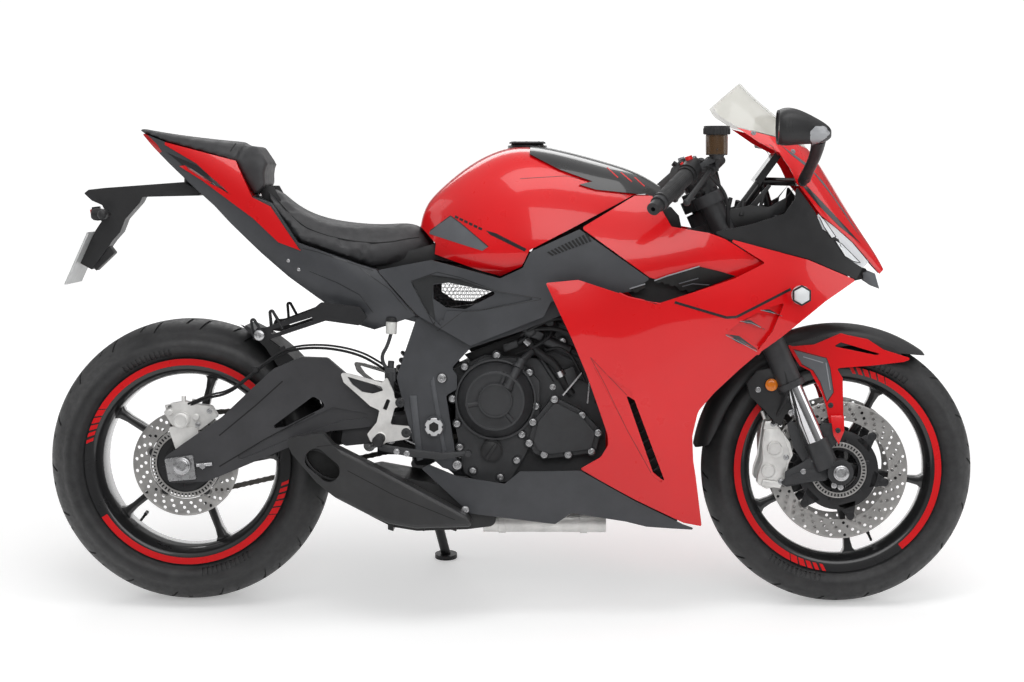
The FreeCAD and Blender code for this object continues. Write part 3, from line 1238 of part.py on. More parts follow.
def make_side_stand():
    """The stand's leg runs from its pivot on the left plate to a flat foot on the ground."""
    lift = size("rear_crown") * (1 - math.cos(LEAN))
    ground = at(-165, 300, 0)
    inverse = Placement(Vector(0, 0, lift), Rotation(Vector(1, 0, 0), -size("lean_angle"))).inverse()
    foot_low = inverse.multVec(ground)
    foot_top = inverse.multVec(ground + Vector(0, 0, 10))
    leg = rod(STAND_PIVOT, inverse.multVec(ground + Vector(0, 0, 8)), 11)
    shoe = rod(foot_low, foot_top, 26)
    eye = rod(STAND_PIVOT - STAND_AXIS * 10, STAND_PIVOT + STAND_AXIS * 10, 17)
    bore = rod(STAND_PIVOT - STAND_AXIS * 40, STAND_PIVOT + STAND_AXIS * 40, 6 + size("bearing_gap"))
    beyond = rod(STAND_PIVOT - STAND_AXIS * 40, STAND_PIVOT - STAND_AXIS * 10, 40)
    feature("side_stand", fused([leg, shoe, eye]).cut(bore).cut(beyond))


def make_radiator():
    core = [(330, 440), (356, 440), (392, 680), (366, 684)]
    fins = []
    for k in range(12):
        z = 452 + 19 * k
        x = 330 + (z - 440) * 0.15
        fins.append(prism([(x + 20, z), (x + 31, z), (x + 32, z + 5), (x + 21, z + 5)], -150, 150))
    stalks = [rod(low, high, 8) for low, high in radiator_stalks()]
    feature("radiator", fused([prism(core, -165, 165, 3), *fins, *stalks]))


def export():
    """Writes each sub-part as one STEP file, once every object in the document is sound."""
    doc.recompute()
    faults = [o.Name for o in doc.Objects if {"Invalid", "Error"} & set(o.State)]
    for node in nodes:
        shape = node.Shape
        if shape.isNull() or not shape.isValid() or shape.Volume <= 0 or not shape.Solids:
            faults.append(node.Label)
    if faults:
        raise RuntimeError("these objects failed: " + ", ".join(faults))
    os.makedirs("parts", exist_ok=True)
    for node in nodes:
        node.Shape.exportStep(f"parts/{node.Label}.step")


make_wheels()
make_front_end()
make_frame()
make_engine()
make_exhaust()
make_swingarm()
make_chain()
make_fairings()
make_nose()
make_tank()
make_seat()
make_tail()
make_plate_carrier()
make_foot_controls()
make_side_stand()
make_radiator()
export()
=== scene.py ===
import bpy
import json
import math
from mathutils import Matrix, Vector


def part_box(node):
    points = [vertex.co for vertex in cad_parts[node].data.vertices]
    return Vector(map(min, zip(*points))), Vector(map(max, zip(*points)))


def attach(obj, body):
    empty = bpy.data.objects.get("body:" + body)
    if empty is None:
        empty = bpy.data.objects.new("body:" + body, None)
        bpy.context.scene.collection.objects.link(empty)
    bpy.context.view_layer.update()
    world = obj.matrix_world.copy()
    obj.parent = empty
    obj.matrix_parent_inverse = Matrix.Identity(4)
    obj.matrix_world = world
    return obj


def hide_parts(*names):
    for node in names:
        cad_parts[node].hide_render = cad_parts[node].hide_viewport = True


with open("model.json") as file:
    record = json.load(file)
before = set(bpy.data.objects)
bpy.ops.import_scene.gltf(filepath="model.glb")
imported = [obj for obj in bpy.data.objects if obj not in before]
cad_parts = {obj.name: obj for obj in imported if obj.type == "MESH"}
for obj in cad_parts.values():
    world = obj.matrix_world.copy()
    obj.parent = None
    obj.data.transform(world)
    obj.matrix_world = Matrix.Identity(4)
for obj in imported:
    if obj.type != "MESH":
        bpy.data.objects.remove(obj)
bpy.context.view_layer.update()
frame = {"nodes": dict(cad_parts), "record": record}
CAD = frame["nodes"]

# Pieces are shaped in the bike's own upright drawing, x forwards, y to the left and z up in millimetres,
# and then leaned on the side stand with the rest of the bike.
LEAN = math.radians(10)
STANCE = Matrix.Translation((0.0075, -0.182, 0.001458)) @ Matrix.Rotation(-LEAN, 4, "X")
MM = 0.001
FRONT_AXLE = Vector((720, 0, 300))
REAR_AXLE = Vector((-720, 0, 315))
SIDES = (-1, 1)
RAKE = math.radians(24)
FORK_RUN = Vector((-math.sin(RAKE), 0, math.cos(RAKE)))

CHAIN_PITCH = 15.875
CHAIN_PLANE = 108
FRONT_SPROCKET = Vector((-112, 0, 402))
SPROCKET_RADII = (92.0, 41.0)

# Patches are drawn this far out from the middle and then pressed on to the bodywork.
DRAWN_AT = 500

# Focal length, in millimetres, that gives the bike its size in the photograph.
LENS = 94.6578


def clear_selection():
    if bpy.context.object and bpy.context.object.mode != "OBJECT":
        bpy.ops.object.mode_set(mode="OBJECT")
    bpy.ops.object.select_all(action="DESELECT")


# Camera, studio light and floor


def set_camera():
    """The photograph's view: level with the leaned bike's own middle, square on to its right-hand side."""
    eye = STANCE @ (Vector((150, -6000, 950)) * MM)
    aim = STANCE @ (Vector((-2.2, 0, 579.6)) * MM)
    bpy.ops.object.camera_add(location=eye)
    camera = bpy.context.object
    camera.name = "studio_camera"
    towards = (aim - eye).normalized()
    up = (STANCE.to_3x3() @ Vector((0, 0, 1))).normalized()
    side = towards.cross(up).normalized()
    turned = Matrix((side, side.cross(towards), -towards)).transposed()
    camera.rotation_euler = turned.to_euler()
    camera.data.lens = LENS
    camera.data.clip_start = 0.05
    camera.data.clip_end = 200
    bpy.context.scene.camera = camera


def soft_box(name, place, target, width, height, power):
    bpy.ops.object.light_add(type="AREA", location=place)
    lamp = bpy.context.object
    lamp.name = name
    lamp.data.shape = "RECTANGLE"
    lamp.data.size = width
    lamp.data.size_y = height
    lamp.data.energy = power
    direction = Vector(target) - Vector(place)
    lamp.rotation_euler = direction.to_track_quat("-Z", "Y").to_euler()
    return lamp


def seen_by(nodes, links, *rays):
    """One where any of these kinds of ray is looking."""
    path = nodes.new("ShaderNodeLightPath")
    seen = path.outputs[rays[0]]
    for ray in rays[1:]:
        either = nodes.new("ShaderNodeMath")
        either.operation = "MAXIMUM"
        links.new(seen, either.inputs[0])
        links.new(path.outputs[ray], either.inputs[1])
        seen = either.outputs[0]
    return seen


def mixed(nodes, links, factor, first, second):
    mix = nodes.new("ShaderNodeMixShader")
    links.new(factor, mix.inputs[0])
    links.new(first.outputs[0], mix.inputs[1])
    links.new(second.outputs[0], mix.inputs[2])
    return mix


def graded(nodes, links, source, start, end, low, high):
    """A value that rises from low to high between two readings of its source."""
    rise = nodes.new("ShaderNodeMapRange")
    for socket, value in (("From Min", start), ("From Max", end), ("To Min", low), ("To Max", high)):
        rise.inputs[socket].default_value = value
    links.new(source, rise.inputs["Value"])
    return rise.outputs["Result"]


def background(nodes, shade, strength):
    glow = nodes.new("ShaderNodeBackground")
    glow.inputs["Color"].default_value = (shade, shade, shade, 1)
    glow.inputs["Strength"].default_value = strength
    return glow


def light_studio():
    soft_box("top_box", (0.3, -0.8, 3.4), (0, -0.1, 0.5), 3.6, 1.4, 42)
    soft_box("right_box", (0.6, -3.6, 2.6), (0, 0, 0.5), 3.0, 1.4, 32)
    soft_box("left_box", (-0.4, 3.4, 2.4), (0, 0, 0.5), 3.0, 1.4, 32)
    soft_box("front_box", (3.6, -0.6, 1.6), (0.2, 0, 0.6), 1.6, 2.0, 16)
    soft_box("rear_box", (-3.6, 0.4, 1.8), (-0.2, 0, 0.6), 1.6, 2.0, 13)
    world = bpy.data.worlds.new("studio_white")
    bpy.context.scene.world = world
    world.use_nodes = True
    nodes, links = world.node_tree.nodes, world.node_tree.links
    nodes.clear()
    out = nodes.new("ShaderNodeOutputWorld")
    dim_room = background(nodes, 1, 0.42)
    white_wall = background(nodes, 1, 1.0)
    # Gloss mirrors a studio that is white overhead and dimmer towards the horizon.
    mirrored_room = background(nodes, 0.8, 1.0)
    height = nodes.new("ShaderNodeSeparateXYZ")
    links.new(nodes.new("ShaderNodeTexCoord").outputs["Generated"], height.inputs[0])
    rise = graded(nodes, links, height.outputs["Z"], 0.1, 0.75, 0.16, 1.0)
    links.new(rise, mirrored_room.inputs["Strength"])
    unseen = mixed(nodes, links, seen_by(nodes, links, "Is Glossy Ray"), dim_room, mirrored_room)
    looking = seen_by(nodes, links, "Is Camera Ray", "Is Transmission Ray")
    links.new(mixed(nodes, links, looking, unseen, white_wall).outputs[0], out.inputs["Surface"])


def lay_floor():
    bpy.ops.mesh.primitive_plane_add(size=80, location=(0, 0, 0))
    floor = bpy.context.object
    floor.name = "studio_floor"
    material = bpy.data.materials.new("pale_floor")
    material.use_nodes = True
    nodes, links = material.node_tree.nodes, material.node_tree.links
    nodes.clear()
    out = nodes.new("ShaderNodeOutputMaterial")
    matt = nodes.new("ShaderNodeBsdfDiffuse")
    matt.inputs["Color"].default_value = (0.86, 0.86, 0.86, 1)
    lift = nodes.new("ShaderNodeEmission")
    # The floor's own glow grows away from the bike, so that it fades to white and keeps the shadow.
    reach = nodes.new("ShaderNodeVectorMath")
    reach.operation = "LENGTH"
    links.new(nodes.new("ShaderNodeTexCoord").outputs["Object"], reach.inputs[0])
    links.new(graded(nodes, links, reach.outputs["Value"], 1.4, 6.0, 0.34, 0.72), lift.inputs["Strength"])
    both = nodes.new("ShaderNodeAddShader")
    links.new(matt.outputs[0], both.inputs[0])
    links.new(lift.outputs[0], both.inputs[1])
    looking = seen_by(nodes, links, "Is Camera Ray", "Is Glossy Ray", "Is Transmission Ray")
    links.new(mixed(nodes, links, looking, matt, both).outputs[0], out.inputs["Surface"])
    floor.data.materials.append(material)


# Finishes


class Finish:
    """A procedural material on Object coordinates."""

    def __init__(self, name):
        self.material = bpy.data.materials.new(name)
        self.material.use_nodes = True
        self.nodes = self.material.node_tree.nodes
        self.links = self.material.node_tree.links
        self.shader = self.nodes["Principled BSDF"]
        self.place = self.nodes.new("ShaderNodeTexCoord").outputs["Object"]

    def noise(self, scale, detail=3.0, rough=0.5, where=None):
        node = self.nodes.new("ShaderNodeTexNoise")
        node.inputs["Scale"].default_value = scale
        node.inputs["Detail"].default_value = detail
        node.inputs["Roughness"].default_value = rough
        self.links.new(where or self.place, node.inputs["Vector"])
        return node.outputs["Fac"]

    def ramp(self, source, low, high, start=0.0, end=1.0):
        return graded(self.nodes, self.links, source, start, end, low, high)

    def blend(self, factor, first, second):
        node = self.nodes.new("ShaderNodeMix")
        node.data_type = "RGBA"
        for socket, value in ((node.inputs[0], factor), (node.inputs[6], first), (node.inputs[7], second)):
            if isinstance(value, bpy.types.NodeSocket):
                self.links.new(value, socket)
            elif isinstance(value, (int, float)):
                socket.default_value = value
            else:
                socket.default_value = (*value, 1)
        return node.outputs[2]

    def set(self, **values):
        for name, value in values.items():
            socket = self.shader.inputs[name.replace("_", " ")]
            if isinstance(value, bpy.types.NodeSocket):
                self.links.new(value, socket)
            elif isinstance(value, tuple):
                socket.default_value = (*value, 1)
            else:
                socket.default_value = value

    def relief(self, height, depth, strength=1.0, edge=0.0):
        """Surface relief from a height, over corners softened by a small bevel."""
        bump = self.nodes.new("ShaderNodeBump")
        bump.inputs["Distance"].default_value = depth
        bump.inputs["Strength"].default_value = strength
        self.links.new(height, bump.inputs["Height"])
        if edge:
            soft = self.nodes.new("ShaderNodeBevel")
            soft.samples = 4
            soft.inputs["Radius"].default_value = edge
            self.links.new(soft.outputs[0], bump.inputs["Normal"])
        self.links.new(bump.outputs[0], self.shader.inputs["Normal"])


def gloss_paint(name, colour, shade):
    """Deep gloss paint: a slightly uneven base under a clear coat with fine orange peel."""
    made = Finish(name)
    made.set(Base_Color=made.blend(made.ramp(made.noise(3.0, 2), 0.0, 1.0, 0.35, 0.65), colour, shade))
    made.set(Roughness=made.ramp(made.noise(26, 4), 0.24, 0.34))
    made.set(Coat_Weight=0.7, Coat_Roughness=0.035, Specular_IOR_Level=0.25)
    made.relief(made.noise(380, 2), 0.00012, 0.25, 0.0008)
    return made.material


def moulded_plastic(name, colour, low, high, grain=900, depth=0.0002, edge=0.0008):
    """Moulded plastic with a fine grain and faint handling marks."""
    made = Finish(name)
    lighter = tuple(min(1.0, c * 1.35 + 0.004) for c in colour)
    made.set(Base_Color=made.blend(made.ramp(made.noise(14, 5, 0.6), 0.0, 1.0, 0.3, 0.75), colour, lighter))
    made.set(Roughness=made.ramp(made.noise(40, 5, 0.65), low, high, 0.3, 0.7))
    made.set(Specular_IOR_Level=0.38)
    made.relief(made.noise(grain, 3, 0.6), depth, 0.5, edge)
    return made.material


def metal(name, colour, low, high, grain=500, depth=0.0002, metallic=1.0, streak=(1, 1, 1), edge=0.0006):
    """Bare or coated metal: cast grain, or brushed along one axis."""
    made = Finish(name)
    stretch = made.nodes.new("ShaderNodeMapping")
    stretch.inputs["Scale"].default_value = streak
    made.links.new(made.place, stretch.inputs["Vector"])
    where = stretch.outputs["Vector"]
    darker = tuple(c * 0.72 for c in colour)
    made.set(Base_Color=made.blend(made.ramp(made.noise(22, 5, 0.6), 0, 1, 0.3, 0.72), colour, darker))
    made.set(Metallic=metallic)
    made.set(Roughness=made.ramp(made.noise(120, 4, 0.6, where), low, high, 0.3, 0.7))
    made.relief(made.noise(grain, 3, 0.6, where), depth, 0.4, edge)
    return made.material


def rubber(name):
    made = Finish(name)
    dusty = made.ramp(made.noise(30, 6, 0.65), 0, 1, 0.35, 0.75)
    made.set(Base_Color=made.blend(dusty, (0.012, 0.012, 0.013), (0.03, 0.03, 0.031)))
    made.set(Roughness=made.ramp(made.noise(90, 5, 0.6), 0.42, 0.62, 0.3, 0.7))
    made.relief(made.noise(800, 3, 0.7), 0.0002, 0.5)
    return made.material


def clear_plastic(name, tint, alpha, rough=0.03):
    made = Finish(name)
    shade = tuple(c * 0.94 for c in tint)
    made.set(Base_Color=made.blend(made.ramp(made.noise(5, 2), 0, 1, 0.3, 0.7), tint, shade))
    made.set(Roughness=made.ramp(made.noise(60, 3), rough, rough + 0.05, 0.3, 0.7))
    made.set(Alpha=alpha, Specular_IOR_Level=0.6)
    return made.material


def vinyl(name):
    """Grained seat vinyl: a pebble of small cells over a soft sheen."""
    made = Finish(name)
    cells = made.nodes.new("ShaderNodeTexVoronoi")
    cells.inputs["Scale"].default_value = 520
    made.links.new(made.place, cells.inputs["Vector"])
    patchy = made.ramp(made.noise(18, 4), 0, 1, 0.3, 0.7)
    made.set(Base_Color=made.blend(patchy, (0.022, 0.022, 0.024), (0.036, 0.036, 0.038)))
    made.set(Roughness=made.ramp(made.noise(60, 3), 0.5, 0.66, 0.3, 0.7))
    made.relief(cells.outputs["Distance"], 0.0005, 0.35)
    return made.material


FINISHES = {
    "red_paint": gloss_paint("bright_red_paint", (0.80, 0.004, 0.008), (0.72, 0.003, 0.006)),
    "tank_paint": gloss_paint("bright_red_tank", (0.80, 0.004, 0.008), (0.72, 0.003, 0.006)),
    "black_gloss": gloss_paint("gloss_black", (0.010, 0.010, 0.011), (0.016, 0.016, 0.017)),
    "black_satin": moulded_plastic("satin_black", (0.016, 0.016, 0.017), 0.38, 0.52),
    "dark_grey": moulded_plastic("dark_grey_cover", (0.046, 0.048, 0.053), 0.36, 0.48),
    "black_metal": metal("black_cast_metal", (0.020, 0.020, 0.022), 0.36, 0.5, metallic=0.35),
    "cast_silver": metal("cast_silver", (0.86, 0.85, 0.83), 0.36, 0.5, 300, 0.0002, 0.45),
    "steel": metal("machined_steel", (0.55, 0.55, 0.56), 0.22, 0.36, 900, 0.0002),
    "chrome": metal("hard_chrome", (0.78, 0.78, 0.80), 0.06, 0.12, 700, 0.00005),
    "tyre": rubber("tyre_rubber"),
    "rim_black": gloss_paint("rim_black", (0.012, 0.012, 0.013), (0.02, 0.02, 0.021)),
    "seat_vinyl": vinyl("seat_vinyl"),
    "clear_screen": clear_plastic("screen_clear", (0.84, 0.83, 0.76), 0.38),
    "lamp_lens": clear_plastic("lamp_lens", (0.9, 0.92, 0.95), 0.7),
    "plate_white": moulded_plastic("plate_blank", (0.55, 0.56, 0.56), 0.3, 0.42, 300),
    "red_lens": gloss_paint("red_lens", (0.5, 0.01, 0.012), (0.42, 0.006, 0.01)),
    "red_tape": gloss_paint("red_rim_tape", (0.78, 0.006, 0.010), (0.7, 0.005, 0.008)),
    "disc_steel": metal("brake_disc_steel", (0.42, 0.41, 0.40), 0.3, 0.46, 900, 0.0002, streak=(40, 1, 40)),
    "engine_black": metal("engine_black", (0.046, 0.047, 0.050), 0.4, 0.58, 900, 0.0004, metallic=0.3),
    "moulded_black": moulded_plastic("moulded_black", (0.013, 0.013, 0.014), 0.42, 0.58, 1100, 0.0002),
    "hose_rubber": moulded_plastic("hose_rubber", (0.010, 0.010, 0.011), 0.5, 0.66, 1400, 0.0002, 0),
    "bright_nut": metal("bright_nut", (0.8, 0.8, 0.81), 0.3, 0.4, 200, 0.0001, 0.7),
    "frame_grey": moulded_plastic("frame_grey", (0.07, 0.073, 0.08), 0.36, 0.5, 900, 0.0002),
    "chain_steel": metal("chain_steel", (0.16, 0.15, 0.14), 0.3, 0.48, 600, 0.0003),
    "exhaust_black": moulded_plastic("exhaust_black", (0.030, 0.030, 0.031), 0.3, 0.44, 700, 0.0003),
    "reservoir": clear_plastic("reservoir_white", (0.85, 0.85, 0.82), 0.9, 0.3),
    "charcoal": gloss_paint("charcoal_stripe", (0.018, 0.018, 0.020), (0.026, 0.026, 0.028)),
    # Pale grey: the colour of the screws and the switch key, and also of the painted edge highlights.
    "pale_grey": moulded_plastic("pale_grey", (0.30, 0.31, 0.33), 0.34, 0.46, 900, 0.0002),
    "mid_grey": moulded_plastic("mid_grey", (0.11, 0.115, 0.125), 0.36, 0.48, 900, 0.0002),
    # Near-black: painted shade inside openings and holes, and also real black seams and slats.
    "black_and_hole_shade": moulded_plastic("black_and_hole_shade", (0.005, 0.005, 0.005), 0.5, 0.7),
    # Darker red: painted shade along the creases, seams and edges of the red panels.
    "red_shadow": gloss_paint("red_crease_shade", (0.28, 0.002, 0.004), (0.22, 0.002, 0.003)),
    # Lighter red: a painted highlight along the fairing's edge.
    "red_highlight": gloss_paint("red_edge_highlight", (0.90, 0.05, 0.06), (0.85, 0.04, 0.05)),
    "pale_lens": clear_plastic("pale_lens", (0.45, 0.46, 0.48), 0.9, 0.08),
    "arm_black": moulded_plastic("arm_black", (0.040, 0.040, 0.043), 0.34, 0.46, 900, 0.0002),
    "nose_black": moulded_plastic("nose_black", (0.012, 0.012, 0.013), 0.3, 0.42),
    "recess_dark": moulded_plastic("recess_dark", (0.014, 0.015, 0.016), 0.5, 0.62, 900, 0.0002),
    "amber": clear_plastic("amber_lens", (0.85, 0.22, 0.01), 0.96, 0.12),
    "smoke": clear_plastic("smoke_pot", (0.10, 0.055, 0.025), 0.82, 0.12),
    "mirror_glass": metal("mirror_glass", (0.80, 0.82, 0.84), 0.02, 0.05, 500, 0.00002, edge=0),
    "dial_glass": clear_plastic("dial_glass", (0.02, 0.025, 0.03), 0.92, 0.05),
    "red_switch": moulded_plastic("red_switch", (0.6, 0.012, 0.012), 0.34, 0.46),
    "grip_rubber": rubber("grip_rubber"),
    "white_lamp": clear_plastic("white_lamp", (0.92, 0.94, 0.96), 0.95, 0.06),
}
SLOTS = {s["node"]: s["material_slot"] for s in frame["record"]["subparts"]}

# Slot and finish together, for the looks that come back most often.
TRIM = ("black_satin", "moulded_black")
RUBBER = ("black_satin", "hose_rubber")
ENGINE = ("black_metal", "engine_black")
STRIPE = ("black_gloss", "charcoal")
GREY = ("dark_grey", "mid_grey")
# Pale grey in thin stripes: painted highlights along edges and lips.
EDGE_HIGHLIGHT = ("dark_grey", "pale_grey")


# Modelling, in millimetres of the upright drawing


def open_for_edit():
    bpy.ops.object.mode_set(mode="EDIT")
    bpy.ops.mesh.select_all(action="SELECT")


def close_edit():
    """Back to the finished object, its doubles merged and its faces turned outwards."""
    bpy.ops.mesh.select_all(action="SELECT")
    bpy.ops.mesh.remove_doubles(threshold=0.01)
    bpy.ops.mesh.normals_make_consistent(inside=False)
    bpy.ops.object.mode_set(mode="OBJECT")
    return bpy.context.object


def applied(piece, modifier):
    bpy.context.view_layer.objects.active = piece
    bpy.ops.object.modifier_apply(modifier=modifier.name)
    return piece


def thicken(piece, thickness):
    """Gives a sheet a wall, half of it to each side."""
    wall = piece.modifiers.new("wall", "SOLIDIFY")
    wall.thickness = thickness
    wall.offset = 0
    return applied(piece, wall)


def clone_of(piece):
    """A copy of a piece, with its own mesh."""
    clone = piece.copy()
    clone.data = piece.data.copy()
    bpy.context.collection.objects.link(clone)
    return clone


def soften(piece, width, segments=2, angle=30):
    """A small bevel on every sharp edge, applied."""
    if width > 0:
        bevel = piece.modifiers.new("edge", "BEVEL")
        bevel.width = width
        bevel.segments = segments
        bevel.limit_method = "ANGLE"
        bevel.angle_limit = math.radians(angle)
        applied(piece, bevel)
    return piece


def prism(corners, move, edge):
    """A filled ring of corners, extruded by a move, its edges softened."""
    clear_selection()
    bpy.ops.mesh.primitive_circle_add(vertices=len(corners), radius=10, fill_type="NGON")
    piece = bpy.context.object
    for vertex, corner in zip(piece.data.vertices, corners):
        vertex.co = corner
    open_for_edit()
    bpy.ops.mesh.extrude_region_move(TRANSFORM_OT_translate={"value": move})
    close_edit()
    return soften(piece, edge)


def plate(outline, y_from, y_to, edge=0.8):
    """A plate drawn in the side view and extruded across the bike."""
    return prism([(x, y_from, z) for x, z in outline], (0, y_to - y_from, 0), edge)


def turned(centre, axis, steps, sides=24, edge=0.0):
    """A lathe piece: a disc extruded and sized through (radius, height) steps along its axis."""
    clear_selection()
    bpy.ops.mesh.primitive_circle_add(vertices=sides, radius=steps[0][0], fill_type="NGON")
    piece = bpy.context.object
    open_for_edit()
    for before, after in zip(steps, steps[1:]):
        bpy.ops.mesh.extrude_region_move(TRANSFORM_OT_translate={"value": (0, 0, after[1] - before[1])})
        factor = after[0] / before[0]
        bpy.ops.transform.resize(value=(factor, factor, 1))
    close_edit()
    soften(piece, edge)
    turn = Vector(axis).to_track_quat("Z", "Y").to_matrix().to_4x4()
    piece.data.transform(Matrix.Translation(Vector(centre)) @ turn)
    return piece


def bar(start, end, radius, sides=16, edge=0.6):
    """A round bar with softened ends."""
    start, end = Vector(start), Vector(end)
    length = (end - start).length
    steps = [(radius - edge, 0), (radius, edge), (radius, length - edge), (radius - edge, length)]
    return turned(start, end - start, steps, sides)


def hose(points, radius, sides=3, order=3):
    """A round hose or cable along a smooth curve, made a mesh."""
    clear_selection()
    bpy.ops.curve.primitive_nurbs_path_add()
    piece = bpy.context.object
    line = piece.data.splines[0]
    if len(points) > 5:
        line.points.add(len(points) - 5)
    while len(points) < len(line.points):
        points = [*points[:-1], (Vector(points[-2]) + Vector(points[-1])) / 2, points[-1]]
    for knot, place in zip(line.points, points):
        knot.co = (*place, 1)
    line.order_u = order
    line.use_endpoint_u = True
    line.resolution_u = 5
    piece.data.bevel_depth = radius
    piece.data.bevel_resolution = sides
    piece.data.use_fill_caps = True
    bpy.ops.object.convert(target="MESH")
    return bpy.context.object


def spun(profile, axle, steps=96):
    """A ring: a closed (radius, y) profile spun once round an axle that runs across the bike."""
    clear_selection()
    bpy.ops.mesh.primitive_circle_add(vertices=len(profile), radius=1, fill_type="NOTHING")
    piece = bpy.context.object
    for vertex, (radius, y) in zip(piece.data.vertices, profile):
        vertex.co = (radius, y, 0)
    open_for_edit()
    bpy.ops.mesh.spin(steps=steps, angle=2 * math.pi, center=(0, 0, 0), axis=(0, 1, 0))
    close_edit()
    piece.data.transform(Matrix.Translation(Vector((axle[0], 0, axle[2]))))
    return piece


def wrapped(columns, rows, place):
    """A grid whose points are laid at place(u, v), with its seams merged."""
    clear_selection()
    bpy.ops.mesh.primitive_grid_add(x_subdivisions=columns, y_subdivisions=rows, size=2)
    piece = bpy.context.object
    for vertex in piece.data.vertices:
        vertex.co = place((vertex.co.x + 1) / 2, (vertex.co.y + 1) / 2)
    open_for_edit()
    return close_edit()


def copied(master, places):
    """Copies of one modelled piece, each with its own mesh, joined with it. Places are matrices."""
    clones = []
    for place in places:
        clone = clone_of(master)
        clone.data.transform(place)
        clones.append(clone)
    bpy.data.objects.remove(master)
    return joined(clones)


def joined(pieces):
    """One piece from several, those that hold no face left out."""
    clear_selection()
    empty = [p for p in pieces if not p.data.polygons]
    pieces = [p for p in pieces if p.data.polygons] or empty[:1]
    for piece in empty:
        if piece not in pieces:
            bpy.data.objects.remove(piece)
    for piece in pieces:
        piece.select_set(True)
    bpy.context.view_layer.objects.active = pieces[0]
    if len(pieces) > 1:
        bpy.ops.object.join()
    return bpy.context.object


def mirrored(piece):
    """The piece and its twin on the other side, as one."""
    twin = clone_of(piece)
    twin.data.transform(Matrix.Diagonal((1, -1, 1, 1)))
    twin.data.flip_normals()
    return joined([piece, twin])


def carve(piece, cutter):
    """Cuts one piece with another, which is then thrown away."""
    clear_selection()
    cut = piece.modifiers.new("cut", "BOOLEAN")
    cut.operation = "DIFFERENCE"
    cut.object = cutter
    cut.solver = "EXACT"
    applied(piece, cut)
    bpy.data.objects.remove(cutter)
    return piece


def settle(pieces, name, body, slot, finish=None, smooth=35):
    """Leans a finished piece, or several as one, with the bike, and gives it its finish and its body."""
    piece = joined(pieces) if isinstance(pieces, list) else pieces
    piece.name = name
    piece.data.transform(STANCE @ Matrix.Diagonal((MM, MM, MM, 1)))
    clear_selection()
    piece.select_set(True)
    bpy.context.view_layer.objects.active = piece
    bpy.ops.object.shade_smooth_by_angle(angle=math.radians(smooth))
    piece.data.materials.clear()
    piece.data.materials.append(FINISHES[finish or slot])
    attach(piece, body)
    return piece


def around(axle, radius, degrees, y):
    """A point on a wheel, by its angle above the horizon ahead."""
    a = math.radians(degrees)
    return Vector((axle.x + radius * math.cos(a), y, axle.z + radius * math.sin(a)))


def face_of(names):
    """The sub-part that a patch lies on, or several of them as one."""
    if isinstance(names, str):
        return CAD[names]
    return joined([clone_of(CAD[name]) for name in names])


def drop_strays(piece, side, reach=12):
    """Seats points that ran past the face beside their nearest neighbour, and deletes those too far out."""
    seated = [v for v in piece.data.vertices if abs(v.co.y - side * DRAWN_AT) >= 0.01]
    missed = [v for v in piece.data.vertices if abs(v.co.y - side * DRAWN_AT) < 0.01]
    strays = set()
    for vertex in missed:
        def away(other):
            return math.hypot(other.co.x - vertex.co.x, other.co.z - vertex.co.z)
        near = min(seated, key=away, default=None)
        if near is None or away(near) > reach:
            strays.add(vertex.index)
        else:
            vertex.co.y = near.co.y
    if strays:
        open_for_edit()
        bpy.ops.mesh.select_mode(type="VERT")
        bpy.ops.mesh.select_all(action="DESELECT")
        bpy.ops.object.mode_set(mode="OBJECT")
        for vertex in piece.data.vertices:
            vertex.select = vertex.index in strays
        bpy.ops.object.mode_set(mode="EDIT")
        bpy.ops.mesh.delete(type="VERT")
        bpy.ops.object.mode_set(mode="OBJECT")


def laid_on(node, outline, side, lift=0.35, cuts=4, thick=0.0):
    """A thin patch drawn in the side view and pressed on to a sub-part's outer face."""
    target = face_of(node)
    clear_selection()
    bpy.ops.mesh.primitive_circle_add(vertices=len(outline), radius=1, fill_type="NGON")
    piece = bpy.context.object
    for vertex, (x, z) in zip(piece.data.vertices, outline):
        vertex.co = (x, side * DRAWN_AT, z)
    open_for_edit()
    bpy.ops.mesh.quads_convert_to_tris()
    if cuts:
        bpy.ops.mesh.subdivide(number_cuts=cuts)
    bpy.ops.object.mode_set(mode="OBJECT")
    piece.data.transform(Matrix.Diagonal((MM, MM, MM, 1)))
    piece.matrix_world = STANCE
    press = piece.modifiers.new("press", "SHRINKWRAP")
    press.wrap_method = "PROJECT"
    press.use_project_x = press.use_project_z = False
    press.use_project_y = True
    press.use_negative_direction = side > 0
    press.use_positive_direction = side < 0
    press.target = target
    applied(piece, press)
    if not isinstance(node, str):
        bpy.data.objects.remove(target)
    piece.matrix_world = Matrix()
    piece.data.transform(Matrix.Diagonal((1 / MM, 1 / MM, 1 / MM, 1)))
    drop_strays(piece, side)
    for vertex in piece.data.vertices:
        vertex.co.y += side * lift
    return thicken(piece, thick) if thick else piece


def spot_on(names, x, z, side):
    """The point of a sub-part's outer face at a place in the side view."""
    best = None
    for name in [names] if isinstance(names, str) else names:
        node = CAD[name]
        turn = node.matrix_world.inverted() @ STANCE
        start = turn @ (Vector((x, side * DRAWN_AT, z)) * MM)
        aim = (turn.to_3x3() @ Vector((0, -side, 0))).normalized()
        hit, place = node.ray_cast(start, aim)[:2]
        if hit:
            place = STANCE.inverted() @ node.matrix_world @ place / MM
            if best is None or place.y * side > best.y * side:
                best = place
    return best


def stripe_outline(line, width):
    """The outline of a stripe of even width along a drawn line."""
    left, right = [], []
    for i, here in enumerate(line):
        back = Vector(line[max(i - 1, 0)])
        ahead = Vector(line[min(i + 1, len(line) - 1)])
        run = (ahead - back).normalized()
        side = Vector((-run.y, run.x)) * width / 2
        left.append(tuple(Vector(here) + side))
        right.append(tuple(Vector(here) - side))
    return left + right[::-1]


